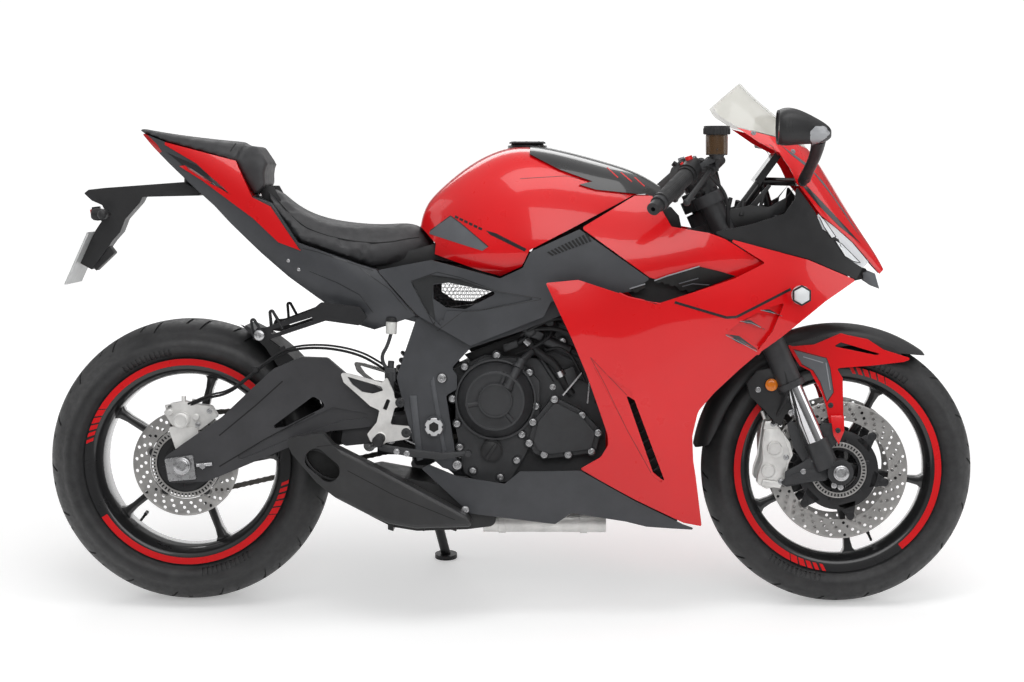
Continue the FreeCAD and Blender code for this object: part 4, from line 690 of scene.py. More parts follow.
def stripe(node, line, width, side, lift=0.35):
    """A stripe laid on a sub-part, one flat length after another."""
    runs = []
    for start, end in zip(line, line[1:]):
        length = (Vector(end) - Vector(start)).length
        runs.append(laid_on(
            node, stripe_outline([start, end], width), side, lift, max(1, int(length / 12))
        ))
    return joined(runs)


def bolt(radius, height):
    """A socket-head bolt, standing on its base along Z."""
    flange, socket = radius * 1.35, radius / 2
    steps = [
        (flange, 0), (flange, height * 0.25), (radius, height * 0.3), (radius, height * 0.85),
        (radius * 0.86, height), (socket, height), (socket * 0.95, height * 0.5),
    ]
    return turned((0, 0, 0), (0, 0, 1), steps, 12)


def bolts(spots, radius, height, name, body, slot="steel", finish=None, axis=None):
    """Copies of one bolt, each at a place and along an axis out of the face."""
    places = []
    for spot in spots:
        out = Vector(axis) if axis else Vector((0, math.copysign(1, spot[1]), 0))
        places.append(Matrix.Translation(Vector(spot)) @ out.to_track_quat("Z", "Y").to_matrix().to_4x4())
    return settle(copied(bolt(radius, height), places), name, body, slot, finish)


# Wheels, tyres and brakes


def dress_tyre(name, axle, body, radius, width, crown, rim_half, marks):
    """A radial tyre: slanted grooves over the crown and engraved bars by the rim."""
    half, edge = width / 2, 0.4 * width
    steep = math.asin(edge / crown)
    shoulder = radius - crown + math.sqrt(crown**2 - edge**2)
    lip, toe = (233.0, rim_half - 5), (217.5, rim_half - 9)
    columns, tread, wall = 288, 26, 10
    rows = tread + 2 * wall

    def section(v):
        k = v * rows
        if wall <= k <= rows - wall:
            a = steep * (2 * (k - wall) / tread - 1)
            return radius - crown + crown * math.cos(a), crown * math.sin(a)
        side = -1 if k < wall else 1
        t = (wall - k if side < 0 else k - (rows - wall)) / (wall - 1)
        if t > 1.05:
            return toe[0], side * toe[1]
        bulge = (shoulder + lip[0]) / 2
        a, b, c = (1 - t) * (1 - 2 * t), 4 * t * (1 - t), t * (2 * t - 1)
        r = a * shoulder + b * bulge + c * lip[0]
        return r, side * (a * edge + b * half + c * lip[1])

    def place(u, v):
        r, y = section(v)
        lean = 0.09 * min(1.0, abs(y) / edge) ** 1.4
        turn = 2 * math.pi * u + lean
        return Vector((axle.x + r * math.cos(turn), y, axle.z + r * math.sin(turn)))

    piece = wrapped(columns, rows, place)
    grooves, bars = [], []
    for face in piece.data.polygons:
        out = face.center - axle
        y = face.center.y
        r = math.hypot(out.x, out.z)
        lean = 0.09 * min(1.0, abs(y) / edge) ** 1.4
        turn = math.degrees(math.atan2(out.z, out.x) - lean) % 360
        step = int(turn / 1.25)
        if 0.16 * edge < abs(y) < 0.84 * edge and r > shoulder:
            if (step + (8 if y > 0 else 0)) % 16 == 0 and abs(y) > 0.3 * edge:
                grooves.append(face.index)
            if (step + (8 if y > 0 else 0)) % 16 == 6 and abs(y) < 0.62 * edge:
                grooves.append(face.index)
        marked = any(low < (turn - half_turn) % 360 < high for low, high in marks for half_turn in (0, 180))
        if 238 < r < 252 and step % 2 == 0 and marked:
            bars.append(face.index)
    for chosen, depth, rim in ((grooves, -3.0, 0.7), (bars, -2.2, 0.4)):
        clear_selection()
        bpy.context.view_layer.objects.active = piece
        bpy.ops.object.mode_set(mode="EDIT")
        bpy.ops.mesh.select_all(action="DESELECT")
        bpy.ops.object.mode_set(mode="OBJECT")
        for index in chosen:
            piece.data.polygons[index].select = True
        bpy.ops.object.mode_set(mode="EDIT")
        bpy.ops.mesh.select_mode(type="FACE")
        bpy.ops.mesh.inset(thickness=rim, depth=depth)
        bpy.ops.object.mode_set(mode="OBJECT")
    settle(piece, name + "_tread", body, "tyre", smooth=50)
    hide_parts(name)


def dress_rim(name, axle, body, half, first, hub, spoke_half):
    """A cast wheel: a barrel with flanges, five slim spokes and a turned hub."""
    out = [(230, half), (230, half - 4), (217, half - 9), (212, half - 22), (200, half - 34)]
    inner = [(214, half), (206, half - 2), (201, half - 9), (195, half - 30), (193, half - 36)]
    profile = [*out, *[(r, -y) for r, y in out[::-1]], *[(r, -y) for r, y in inner], *inner[::-1]]
    barrel = soften(spun(profile, axle), 0.8, 1, 20)
    shape = [(24, -17), (60, -14), (120, -8.5), (165, -7.5), (184, -10), (196, -19)]
    shape += [(r, -w) for r, w in shape[::-1]]
    pieces = [barrel]
    for k in range(5):
        turn = math.radians(first + 72 * k)
        spoke = plate(shape, -spoke_half, spoke_half, 3.2)
        for vertex in spoke.data.vertices:
            vertex.co.y *= 0.62 + 0.38 * min(1, abs(vertex.co.x - 95) / 80)
        spoke.data.transform(Matrix.Translation(Vector((axle.x, 0, axle.z))) @ Matrix.Rotation(
            -turn, 4, "Y"
        ))
        pieces.append(spoke)
    low, high, flange = hub
    steps = [
        (21, low), (flange, low), (flange, low + 6), (30, low + 10), (33, -spoke_half), (33, spoke_half),
    ]
    steps += [(30, high - 10), (flange, high - 6), (flange, high), (21, high)]
    pieces.append(turned((axle.x, 0, axle.z), (0, 1, 0), steps, 48, 0.8))
    piece = settle(pieces, name + "_casting", body, "rim_black", smooth=40)
    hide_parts(name)


def rim_tape(name, axle, body, y_face, tape, dashes):
    """Bright tape on the rim's edge: two long runs that break up into slanted dashes."""
    inner, outer = 214.5, 229
    runs = []
    for side in SIDES:
        for half_turn in (0, 180):
            spans = [tape]
            at = dashes[0] + 0.6
            length, gap = 4.2, 0.9
            while at + length < dashes[1]:
                spans.append((at, at + length))
                at += length + gap
                length, gap = length * 0.84, gap * 1.22
            for k, (low, high) in enumerate(spans):
                steps = max(1, int((high - low) / 3))

                def place(u, v, low=low, high=high, k=k):
                    r = inner + (outer - inner) * v
                    slant = 2.6 * (v - 0.5) * (0 if k == 0 and u < 0.5 else 1)
                    return around(
                        axle, r, low + (high - low) * u + slant + half_turn, side * (y_face + 0.3)
                    )

                runs.append(wrapped(steps, 1, place))
    settle(thicken(joined(runs), 0.3), name, body, "red_paint", "red_tape")


def ring(centre, outer, inner, thick, sides=72, edge=0.4):
    """A flat ring across the bike, cut out of a turned disc."""
    start = Vector(centre) - Vector((0, thick / 2, 0))
    disc = turned(start, (0, 1, 0), [(outer, 0), (outer, thick)], sides, edge)
    return carve(
        disc, turned(start - Vector((0, 5, 0)), (0, 1, 0), [(inner, 0), (inner, thick + 10)], sides)
    )


def dress_disc(name, axle, body, y, outer, inner, hole_rows, carrier, pins, turn, node=None):
    """A floating disc: a drilled steel ring pinned to a black carrier."""
    centre = Vector((axle.x, y, axle.z))
    steel = ring(centre, outer, inner, 4.6, 96, 0.4)
    drills = []
    for radius, count, hole, shift in hole_rows:
        drill = turned((0, -8, 0), (0, 1, 0), [(hole, 0), (hole, 16)], 10)
        spots = [
            Matrix.Translation(around(axle, radius, 360 * (i + shift) / count, y)) for i in range(count)
        ]
        drills.append(copied(drill, spots))
    turns = [turn + 360 * i / pins for i in range(pins)]
    lugs = [
        turned(around(axle, inner - 2, a, y - 2.3), (0, 1, 0), [(12, 0), (12, 4.6)], 20, 0.4) for a in turns
    ]
    carve(steel, joined(drills))
    steel = joined([steel, *lugs])
    settle(steel, name + "_ring", body, "steel", "disc_steel")

    low, high = carrier
    hub = ring(centre, low + 14, low - 10, 6, 72, 0.6)
    arms = []
    for angle in turns:
        root, foot = around(axle, low + 4, angle - 15, y), around(axle, low + 4, angle + 15, y)
        tip_a, tip_b = around(axle, inner - 6, angle - 5, y), around(axle, inner - 6, angle + 5, y)
        corners = [(p.x, p.z) for p in (root, tip_a, tip_b, foot)]
        arms.append(plate(corners, y - 3, y + 3, 0.8))
        arms.append(turned(
            around(axle, inner - 5, angle, y - 3.4), (0, 1, 0), [(9.5, 0), (9.5, 6.8)], 20, 0.5
        ))
    dish = ring(centre, low - 8, high, 5, 72, 0.5)
    web = [bar(around(axle, high + 2, a + 30, y), around(axle, low - 4, a + 30, y), 5, 10) for a in turns]
    settle([hub, dish, *arms, *web], name + "_carrier", body, "rim_black", "black_metal")

    pegs = turned((0, 0, 0), (0, 1, 0), [(8, -4.2), (8, 4.2)], 20, 0.8)
    spots = [Matrix.Translation(around(axle, inner - 4, a, y)) for a in turns]
    eye = turned((0, 0, 0), (0, 1, 0), [(4, -4.8), (4, 4.8)], 14, 0.6)
    settle([copied(pegs, spots), copied(eye, spots)], name + "_bobbins", body, "steel")
    if node:
        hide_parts(node)


def toothed_ring(name, axle, body, y, outer, inner, teeth):
    """A thin speed ring with a row of open slots."""
    piece = ring((axle.x, y, axle.z), outer, inner, 1.6, 96, 0.2)
    middle, tall = (outer + inner) / 2, (outer - inner) * 0.52
    clear_selection()
    bpy.ops.mesh.primitive_cube_add(size=1)
    slit = bpy.context.object
    slit.data.transform(Matrix.Diagonal((tall, 8, 2 * math.pi * middle / teeth * 0.5, 1)))
    spots = []
    for i in range(teeth):
        angle = 360 * i / teeth
        spots.append(Matrix.Translation(around(axle, middle, angle, y)) @ Matrix.Rotation(
            -math.radians(angle), 4, "Y"
        ))
    carve(piece, copied(slit, spots))
    settle(piece, name, body, "steel", "disc_steel")


def dress_wheels():
    dress_rim("front_rim", FRONT_AXLE, "front_wheel", 51, 62.8, (-64.5, 64.5, 52), 20)
    dress_rim("rear_rim", REAR_AXLE, "rear_wheel", 78, 75.3, (-96.5, 90, 50), 24)
    dress_tyre("front_tyre", FRONT_AXLE, "front_wheel", 300, 120, 62, 51, [(48, 78)])
    dress_tyre("rear_tyre", REAR_AXLE, "rear_wheel", 315, 184, 96, 78, [(92, 120)])
    rim_tape("front_rim_tape", FRONT_AXLE, "front_wheel", 51, (-51, 62), (62, 86))
    rim_tape("rear_rim_tape", REAR_AXLE, "rear_wheel", 78, (33, 148), (148, 172))
    rows = [(118, 30, 3.6, 0), (127, 30, 3.6, 0.33), (136, 30, 3.6, 0.66), (145, 30, 3.4, 0)]
    for side, tag in zip(SIDES, ("right", "left")):
        dress_disc(
            f"front_disc_{tag}", FRONT_AXLE, "front_wheel", side * 68, 152, 110, rows, (74, 44), 6, 45,
            "front_discs" if side < 0 else None
        )
        toothed_ring(f"front_speed_ring_{tag}", FRONT_AXLE, "front_wheel", side * 73, 62, 50, 48)
    rows = [(89, 26, 3.8, 0), (99, 26, 3.8, 0.33), (109, 26, 3.8, 0.66)]
    dress_disc("rear_disc", REAR_AXLE, "rear_wheel", -100, 117, 80, rows, (58, 40), 5, 18, "rear_disc")
    toothed_ring("rear_speed_ring", REAR_AXLE, "rear_wheel", -105, 78, 64, 56)
    dress_valve("front_valve", FRONT_AXLE, "front_wheel", -63.7)
    dress_valve("rear_valve", REAR_AXLE, "rear_wheel", 230)
    dress_axles()


def dress_valve(name, axle, body, angle):
    root, tip = around(axle, 186, angle, 12), around(axle, 156, angle, -14)
    stem = bar(root, root.lerp(tip, 0.7), 3.2, 12)
    cap = bar(root.lerp(tip, 0.66), tip, 4.4, 12, 0.9)
    settle([stem, cap], name, body, "steel")


def dress_axles():
    """Axle ends: the same flanged and stepped cap on either side."""
    for axle, y, body, name, radius in (
        (FRONT_AXLE, 139.3, "front_end", "front_axle", 17), (REAR_AXLE, 164.3, "chassis", "rear_axle", 19),
    ):
        ends = []
        for side in SIDES:
            at = Vector((axle.x, side * y, axle.z))
            steps = [(radius, 0), (radius, 2.5), (radius * 0.86, 3.2), (radius * 0.8, 7), (radius * 0.7, 8)]
            ends.append(turned(at, (0, side, 0), [*steps, (9.6, 8), (9.3, 0.2)], 24))
        settle(ends, name + "_caps", body, "steel")


# Engine, frame and running gear


def cut_hex(spot, out, across, depth):
    return turned(Vector(spot) - Vector(out) * depth, out, [(across, 0), (across, depth * 2)], 6)


def dress_engine():
    clutch = [
        (-32, 557), (-102, 532), (-129, 462), (-119, 407), (-113, 356), (-84, 304), (-24, 290), (12, 327),
        (23, 384), (53, 446), (39, 520),
    ]
    water = [(94, 462), (47, 412), (39, 366), (72, 341), (124, 341), (175, 348), (189, 389), (154, 427)]
    lugs = [turned((x, -136, z), (0, -1, 0), [(11, 0), (10, 8), (9, 9.4)], 20) for x, z in clutch]
    settle(lugs, "clutch_cover_lugs", "chassis", *ENGINE)
    bolts([(x, -145, z) for x, z in clutch], 5.2, 5, "clutch_cover_bolts", "chassis")
    lugs = [turned((x, -146, z), (0, -1, 0), [(10.5, 0), (10, 8), (9, 9.4)], 20) for x, z in water]
    settle(lugs, "pump_cover_lugs", "chassis", *ENGINE)
    bolts([(x, -155, z) for x, z in water], 5.6, 5, "pump_cover_bolts", "chassis")
    rim = ring((-34, -198.2, 461), 64, 60, 2.4, 64, 0.5)
    step = ring((-34, -153.2, 461), 88.5, 84, 2.4, 72, 0.5)
    inner = ring((-34, -184.4, 461), 37, 33.5, 2.2, 48, 0.5)
    settle([rim, step], "clutch_cover_rims", "chassis", *ENGINE)
    inner.data.transform(Matrix.Translation((0, -1, 0)))
    settle(inner, "clutch_cover_eye", "chassis", *ENGINE)
    cap = turned((-43, -149, 349), (0, -1, 0), [(24, 0), (24, 3), (21, 4), (21, 9), (19.5, 10)], 32)
    grip = plate([(-58, 334), (-52, 330), (-28, 364), (-34, 368)], -158, -166, 1.2)
    settle([cap, grip], "oil_filler_cap", "chassis", *TRIM)
    dress_cylinders()
    dress_left_covers()


def dress_cylinders():
    """Fins, plugs and hoses in the gap between the frame and the fairing."""
    fins = []
    for k in range(7):
        x, z = 96 + 7.6 * k, 556 + 14.2 * k
        fin = [(x - 26, z + 12), (x + 96, z - 40), (x + 98, z - 36), (x - 24, z + 16)]
        fins.append(plate(fin, -116, -108, 0.8))
    settle(fins, "cylinder_ribs", "chassis", *ENGINE)
    head = [
        plate([(120, 690), (196, 652), (214, 690), (150, 722)], -114, -104, 3),
        turned((150, -108, 642), (0, -1, 0), [(16, 0), (16, 8), (12, 12)], 24),
        turned((110, -108, 585), (0, -1, 0), [(13, 0), (13, 10), (9, 13)], 20),
        turned((186, -108, 560), (0, -1, 0), [(15, 0), (15, 9), (11, 12)], 20),
        bar((70, -124, 590), (128, -124, 566), 12),
        bar((128, -124, 566), (146, -118, 560), 8),
        plate([(22, 604), (64, 588), (72, 604), (30, 622)], -134, -114, 2),
    ]
    settle(head, "cylinder_head_parts", "chassis", *ENGINE)
    fittings = [
        bar((-6, -176, 492), (24, -158, 549), 10.5, 24), bar((-9, -178, 486), (-5, -176, 494), 12.5, 24),
        bar((14, -166, 530), (18, -163, 538), 13, 24), bar((22, -160, 545), (44, -140, 566), 8, 16),
        turned((40, -124, 612), (0, -1, 0), [(17, 0), (18, 4), (14, 12), (9, 15)], 20),
        turned((84, -124, 628), (0, -1, 0), [(12, 0), (12, 8), (8, 13)], 16),
        plate([(-20, 578), (12, 590), (16, 574), (-16, 562)], -112, -128, 3),
        plate([(100, 520), (136, 534), (150, 500), (120, 486)], -120, -134, 4),
        bar((60, -118, 556), (96, -118, 500), 6, 12), bar((0, -112, 574), (44, -112, 600), 7, 12),
    ]
    settle(fittings, "engine_fittings", "chassis", *ENGINE)
    hoses = [
        hose([(30, -126, 590), (60, -140, 560), (96, -138, 540), (112, -128, 500), (132, -124, 470)], 9),
        hose(
            [(190, -120, 450), (214, -134, 500), (206, -136, 560), (190, -126, 620), (202, -112, 660)], 10
        ),
        hose([(40, -128, 612), (90, -146, 620), (140, -140, 600), (176, -130, 560), (180, -122, 520)], 5),
        hose([(20, -130, 600), (70, -150, 634), (120, -142, 640), (150, -120, 640)], 4),
        hose([(60, -122, 556), (92, -136, 580), (130, -138, 560), (160, -122, 500)], 3.2),
        hose([(10, -134, 560), (46, -146, 572), (84, -140, 596), (96, -122, 640)], 3),
    ]
    settle(hoses, "engine_hoses", "chassis", *RUBBER)
    clips = []
    for a, b, r in (
        ((104, -134, 524), (110, -131, 512), 10.6), ((206, -136, 556), (205, -136, 568), 11.6),
        ((196, -128, 606), (192, -126, 617), 11.4), ((32, -128, 588), (42, -133, 579), 10.4),
    ):
        clips.append(bar(a, b, r, 20, 0.4))
    clips += [
        bar((112, -150, 470), (154, -152, 520), 2.2, 8), bar((166, -148, 452), (172, -150, 516), 2.2, 8),
    ]
    settle(clips, "hose_clips", "chassis", "steel")
    spots = [(62, -126, 640), (152, -120, 642), (186, -120, 560), (112, -121, 586), (205, -118, 470)]
    bolts([*spots, (90, -120, 486)], 5, 5, "cylinder_bolts", "chassis")


def dress_left_covers():
    ribs = ring((20, 158.2, 440), 80.5, 76, 2.4, 64, 0.5)
    eye = turned((20, 175.8, 440), (0, 1, 0), [(34, 0), (34, 3), (31, 4), (12, 4), (10, 1.6)], 40)
    settle([ribs, eye], "generator_cover_rims", "chassis", *ENGINE)
    spots = [around(Vector((20, 0, 440)), 84, 20 + 45 * k, 150) for k in range(8)]
    lugs = [turned(p, (0, 1, 0), [(9, 0), (9, 8), (8, 9)], 16) for p in spots]
    settle(lugs, "generator_cover_lugs", "chassis", *ENGINE)
    bolts([p + Vector((0, 8.6, 0)) for p in spots], 5, 5, "generator_cover_bolts", "chassis")
    guard = plate(
        [(-170, 452), (-60, 462), (-44, 440), (-52, 380), (-80, 350), (-150, 356), (-176, 400)], 120, 126, 2
    )
    settle(guard, "sprocket_guard", "chassis", *TRIM)


def dress_frame():
    studs = [(-151, -156, 508), (-118, -156, 318)]
    washers = [turned(s, (0, -1, 0), [(11.5, 0), (11.5, 2), (10.6, 2.8)], 24) for s in studs]
    washers += [turned((x, -y, z), (0, 1, 0), [(11.5, 0), (11.5, 2), (10.6, 2.8)], 24) for x, y, z in studs]
    settle(washers, "frame_washers", "chassis", *ENGINE)
    both = [(x, y - 2, z) for x, y, z in studs] + [(x, 2 - y, z) for x, y, z in studs]
    bolts(both, 7.2, 7, "frame_bolts", "chassis")
    nuts = []
    for side in SIDES:
        out = Vector((0, side, 0))
        at = Vector((-168, side * 165, 402))
        nut = turned(at, out, [(20, 0), (20, 4), (18.6, 5.4)], 32)
        for k in range(6):
            a = math.radians(60 * k)
            spot = at + Vector((20 * math.cos(a), 0, 20 * math.sin(a))) - out
            carve(nut, turned(spot, out, [(3.4, 0), (3.4, 9)], 10))
        nuts.append(carve(nut, cut_hex(at + out * 5.6, out, 8.6, 5)))
    settle(nuts, "pivot_nuts", "chassis", "steel", "bright_nut")
    # A near-black hex inside each pivot nut: painted shade in the socket.
    holes = [
        turned((-168, s * 166, 402), (0, s, 0), [(11.5, 0), (11.5, 4.7), (10.8, 5.2)], 6) for s in SIDES
    ]
    settle(holes, "pivot_socket_shade", "chassis", "black_satin", "black_and_hole_shade")
    rib = [(-222, 470), (-206, 470), (-192, 330), (-206, 326)]
    ridges = [plate(rib, s * 155.5, s * 159, 1.4) for s in SIDES]
    inner = [(-176, 500), (-168, 512), (-142, 350), (-150, 344)]
    ridges += [plate(inner, s * 155.5, s * 158, 1) for s in SIDES]
    settle(ridges, "frame_ridges", "chassis", "dark_grey", "frame_grey")


def dress_swingarm():
    ends = []
    for side in SIDES:
        face = side * 156
        bolt_at = Vector((-676, face * 0.985, 314))
        ends.append(turned(bolt_at, (0, side, 0), [(7, 0), (7, 5), (6, 6)], 6))
        ends.append(bar((-690, side * 150, 315), (-655, side * 150, 318), 4.5, 12))
        for k in range(5):
            x = -752 + 8 * k
            mark = [(x, 327), (x + 1.4, 327), (x + 1.4, 321), (x, 321)]
            ends.append(plate(mark, face - side * 0.3, face + side * 0.5, 0))
    settle(ends, "chain_adjusters", "chassis", "steel")
    seams = ([(-640, 380), (-560, 446), (-500, 500)], [(-640, 312), (-540, 372), (-430, 430)])
    runs = [stripe("swingarm", seam, 3.0, -1, 0.3) for seam in seams]
    settle(runs, "swingarm_seams", "chassis", "black_metal", "rim_black")
    line = [
        (-716, -112, 440), (-670, -128, 462), (-620, -128, 470), (-560, -130, 520), (-500, -126, 566),
        (-420, -124, 574), (-340, -122, 560), (-290, -112, 532), (-226, -96, 486),
    ]
    lines = [hose(line, 3.0), hose([(x + 4, y - 5, z + 7) for x, y, z in line], 2.4)]
    clips = [bar((x - 5, y - 2, z), (x + 5, y - 2, z + 5), 7, 12) for x, y, z in (line[3], line[4])]
    rods = [
        bar((-316, -70, 352), (-268, -70, 366), 9, 20), bar((-316, -78, 352), (-316, -58, 352), 13, 24),
        bar((-252, -70, 372), (-206, -66, 352), 7, 16), bar((-268, -78, 366), (-268, -58, 366), 11, 20),
    ]
    settle(rods, "linkage", "chassis", "steel")
    settle(lines + clips, "rear_brake_line", "chassis", *RUBBER)


def dress_rear_caliper():
    body = [
        turned((-727, -123, 411), (0, -1, 0), [(17, 0), (17, 5), (14, 7), (12.5, 7), (12, 5.6)], 32),
        turned((-694, -118, 418), (0, -1, 0), [(8, 0), (8, 5), (6, 6.5)], 20),
        turned((-752, -118, 428), (0, -1, 0), [(7, 0), (7, 5), (5, 6.5)], 20),
        bar((-722, -112, 448), (-722, -112, 464), 5),
        bar((-702, -112, 446), (-700, -112, 458), 3.6),
        plate([(-760, 432), (-742, 440), (-742, 448), (-764, 444)], -104, -118, 1.4),
    ]
    settle(body, "rear_caliper_details", "chassis", "cast_silver")
    bolts([(-664, -124, 432), (-690, -124, 402)], 4.6, 5, "rear_caliper_bolts", "chassis")


def dress_chain():
    """Every link of the chain: plates and a roller, laid along the two runs and round both sprockets."""
    front = FRONT_SPROCKET
    big, little = SPROCKET_RADII
    between = front - REAR_AXLE
    tilt = math.atan2(between.z, between.x)
    spread = math.acos((big - little) / between.length)
    up, down = tilt + spread, tilt - spread
    run = math.sqrt(between.length_squared - (big - little) ** 2)
    rear_arc, front_arc = big * (2 * math.pi - 2 * spread), little * 2 * spread
    total = 2 * run + rear_arc + front_arc
    count = 2 * round(total / CHAIN_PITCH / 2)
    places = []
    for i in range(count):
        s = total * i / count
        if s < run:
            foot = around_point(REAR_AXLE, big, up)
            tip = around_point(front, little, up)
            at, angle = foot.lerp(tip, s / run), math.atan2(tip.z - foot.z, tip.x - foot.x)
        elif s < run + front_arc:
            a = up - (s - run) / little
            at, angle = around_point(front, little, a), a - math.pi / 2
        elif s < 2 * run + front_arc:
            foot = around_point(front, little, down)
            tip = around_point(REAR_AXLE, big, down)
            at, angle = foot.lerp(
                tip, (s - run - front_arc) / run
            ), math.atan2(tip.z - foot.z, tip.x - foot.x)
        else:
            a = down - (s - 2 * run - front_arc) / big
            at, angle = around_point(REAR_AXLE, big, a), a - math.pi / 2
        places.append((at + Vector((0, CHAIN_PLANE, 0)), angle))
    for kind, plane in (("outer", 7.6), ("inner", 5.2)):
        outline = []
        for k in range(16):
            a = 2 * math.pi * k / 16
            eye = abs(math.cos(a)) > 0.35
            r = 6.2 if eye else 4.6
            shift = math.copysign(7.4, math.cos(a)) if eye else 0
            outline.append((shift + r * math.cos(a), r * math.sin(a)))
        plates = [plate(outline, s * plane, s * (plane + 1.6), 0) for s in SIDES]
        radius, reach = (2.6, 9.6) if kind == "outer" else (4.6, 5.2)
        pin = turned((7.9, -reach, 0), (0, 1, 0), [(radius, 0), (radius, 2 * reach)], 8)
        link = joined([*plates, pin])
        spots = [
            Matrix.Translation(at) @ Matrix.Rotation(-angle, 4, "Y")
            for i, (at, angle) in enumerate(places) if (i % 2 == 0) == (kind == "outer")
        ]
        piece = settle(copied(link, spots), f"chain_{kind}_links", "chassis", "steel", "chain_steel")
        if kind == "outer":
            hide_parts("drive_chain")


def around_point(centre, radius, angle):
    return Vector((centre.x + radius * math.cos(angle), 0, centre.z + radius * math.sin(angle)))


def dress_foot_controls():
    collar = [(10.8, 0), (11.6, 1), (11.6, 3.6), (10.8, 4.6)]
    knurl = []
    for side in SIDES:
        for k in range(9):
            y = side * (198 + 7.4 * k)
            knurl.append(turned((-283, y, 380), (0, side, 0), collar, 20))
        knurl.append(turned((-283, side * 266, 380), (0, side, 0), [(12, 0), (12.6, 1), (11, 6), (7, 8)], 20))
    settle(knurl, "footrest_rubbers", "chassis", *RUBBER)
    bolts(
        [(-241, -176, 456), (-228, -176, 390), (-241, 176, 456), (-228, 176, 390)], 8, 6, "footrest_bolts",
        "chassis", *ENGINE
    )
    cap = turned((-283, -190, 380), (0, -1, 0), [(13, 0), (13, 3), (11, 4)], 24)
    settle(mirrored(cap), "footrest_collars", "chassis", "cast_silver")
    pedal = [
        (-296, 376), (-284, 366), (-214, 356), (-150, 348), (-96, 352), (-86, 344), (-150, 332),
        (-216, 338), (-286, 352),
    ]
    arm = plate(pedal, -180, -188, 2)
    toe = bar((-92, -182, 348), (-92, -214, 348), 7)
    settle([arm, toe], "brake_pedal", "chassis", *ENGINE)
    bolts([(-248, -188, 350), (-226, -188, 346)], 5, 4, "pedal_bolts", "chassis")
    lever = [(-296, 372), (-284, 362), (-190, 350), (-120, 356), (-112, 346), (-190, 338), (-286, 350)]
    shift = joined([plate(lever, 180, 187, 2), bar((-116, 182, 350), (-116, 212, 350), 7)])
    rod = joined([bar((-276, 190, 366), (-150, 190, 398), 3.4), bar((-150, 176, 398), (-150, 194, 398), 5)])
    settle([shift, rod], "gear_lever", "chassis", *ENGINE)
    pot = turned((-262, -150, 604), (0.05, 0, 1), [(11, 0), (12, 2), (12.5, 26), (12, 27)], 24)
    settle(pot, "rear_reservoir", "chassis", "plate_white", "reservoir")
    lid = turned((-260.6, -150, 631), (0.05, 0, 1), [(13.5, 0), (13.5, 9), (12, 10)], 24)
    settle(lid, "rear_reservoir_lid", "chassis", *TRIM)
    pump = [
        bar((-266, -148, 470), (-264, -148, 520), 11), bar((-264, -148, 520), (-262, -148, 545), 7),
        plate([(-276, 500), (-252, 500), (-252, 530), (-276, 530)], -148, -156, 2),
    ]
    line = hose(
        [(-262, -150, 606), (-268, -156, 580), (-284, -152, 556), (-276, -148, 530), (-264, -148, 524)], 4
    )
    settle([*pump, line], "rear_brake_pump", "chassis", *ENGINE)


def oval_at(long, short):
    """The outlet's oval in the side view, tilted down to the front."""
    tip = Matrix.Rotation(-0.66, 2)
    turns = [2 * math.pi * k / 32 for k in range(32)]
    corners = [tip @ Vector((long * math.cos(a), short * math.sin(a))) for a in turns]
    return [(corner.x - 408, corner.y + 322) for corner in corners]


def dress_exhaust():
    band = [(20.4, 0), (21.4, 1), (21.4, 15), (20.4, 16)]
    clamps = [turned((40, y, 210), (1, 0, 0), band, 24) for y in (-38.5, 0, 38.5)]
    settle(clamps, "pipe_clamps", "chassis", "steel")
    mouth, throat = oval_at(50, 25), oval_at(43, 20)
    tube = carve(plate(mouth, -164, -190, 1.2), plate(throat, -171, -200, 0))
    settle(tube, "muffler_mouth", "chassis", "black_satin", "exhaust_black")
    # A near-black plate inside the outlet: painted shade in the pipe's throat.
    floor = plate(oval_at(42.4, 19.4), -168, -172.5, 0)
    settle(floor, "muffler_throat_shade", "chassis", "black_satin", "black_and_hole_shade")
    shells = [
        bar((-64, -62, 180), (208, -62, 180), 21, 28), bar((-30, -62, 180), (-14, -62, 180), 23.5, 28),
        bar((150, -62, 180), (166, -62, 180), 23.5, 28),
    ]
    settle(shells, "collector_shell", "chassis", "steel", "cast_silver")
    seam = [[(-352, 312), (-250, 258), (-120, 206)], [(-420, 362), (-356, 372), (-262, 340), (-150, 280)]]
    runs = [stripe("muffler", line, 1.6, -1, 0.4) for line in seam]
    settle(runs, "muffler_seams", "chassis", "black_satin", "black_and_hole_shade")
    bolts([(-99, -190, 224), (-99, 190, 224)], 6, 4, "belly_bolts", "chassis")


def dress_shock():
    coil = []
    low, high = Vector((-262, 0, 416)), Vector((-196, 0, 590))
    axis = (high - low).normalized()
    side = axis.cross(Vector((0, 1, 0)))
    for k in range(61):
        a = 2 * math.pi * k / 10
        coil.append(low + axis * (34 + 1.66 * k) + side * 35 * math.cos(a) + Vector((0, 35, 0)) * math.sin(
            a
        ))
    settle(hose(coil, 4.6, 3, 4), "shock_spring", "chassis", *ENGINE)


# Panels, stripes and covers


def twin_patches(node, outlines, name, slot, finish, cuts=3, lift=0.4, thick=0.5, body="chassis"):
    """The same patches on both sides of the bike."""
    patches = [laid_on(node, outline, s, lift, cuts, thick) for s in SIDES for outline in outlines]
    return settle(patches, name, body, slot, finish)


def twin_stripes(node, lines, width, name, slot, finish, lift=0.5, body="chassis"):
    runs = [stripe(node, line, width, s, lift) for s in SIDES for line in lines]
    return settle(thicken(joined(runs), 0.4), name, body, slot, finish)


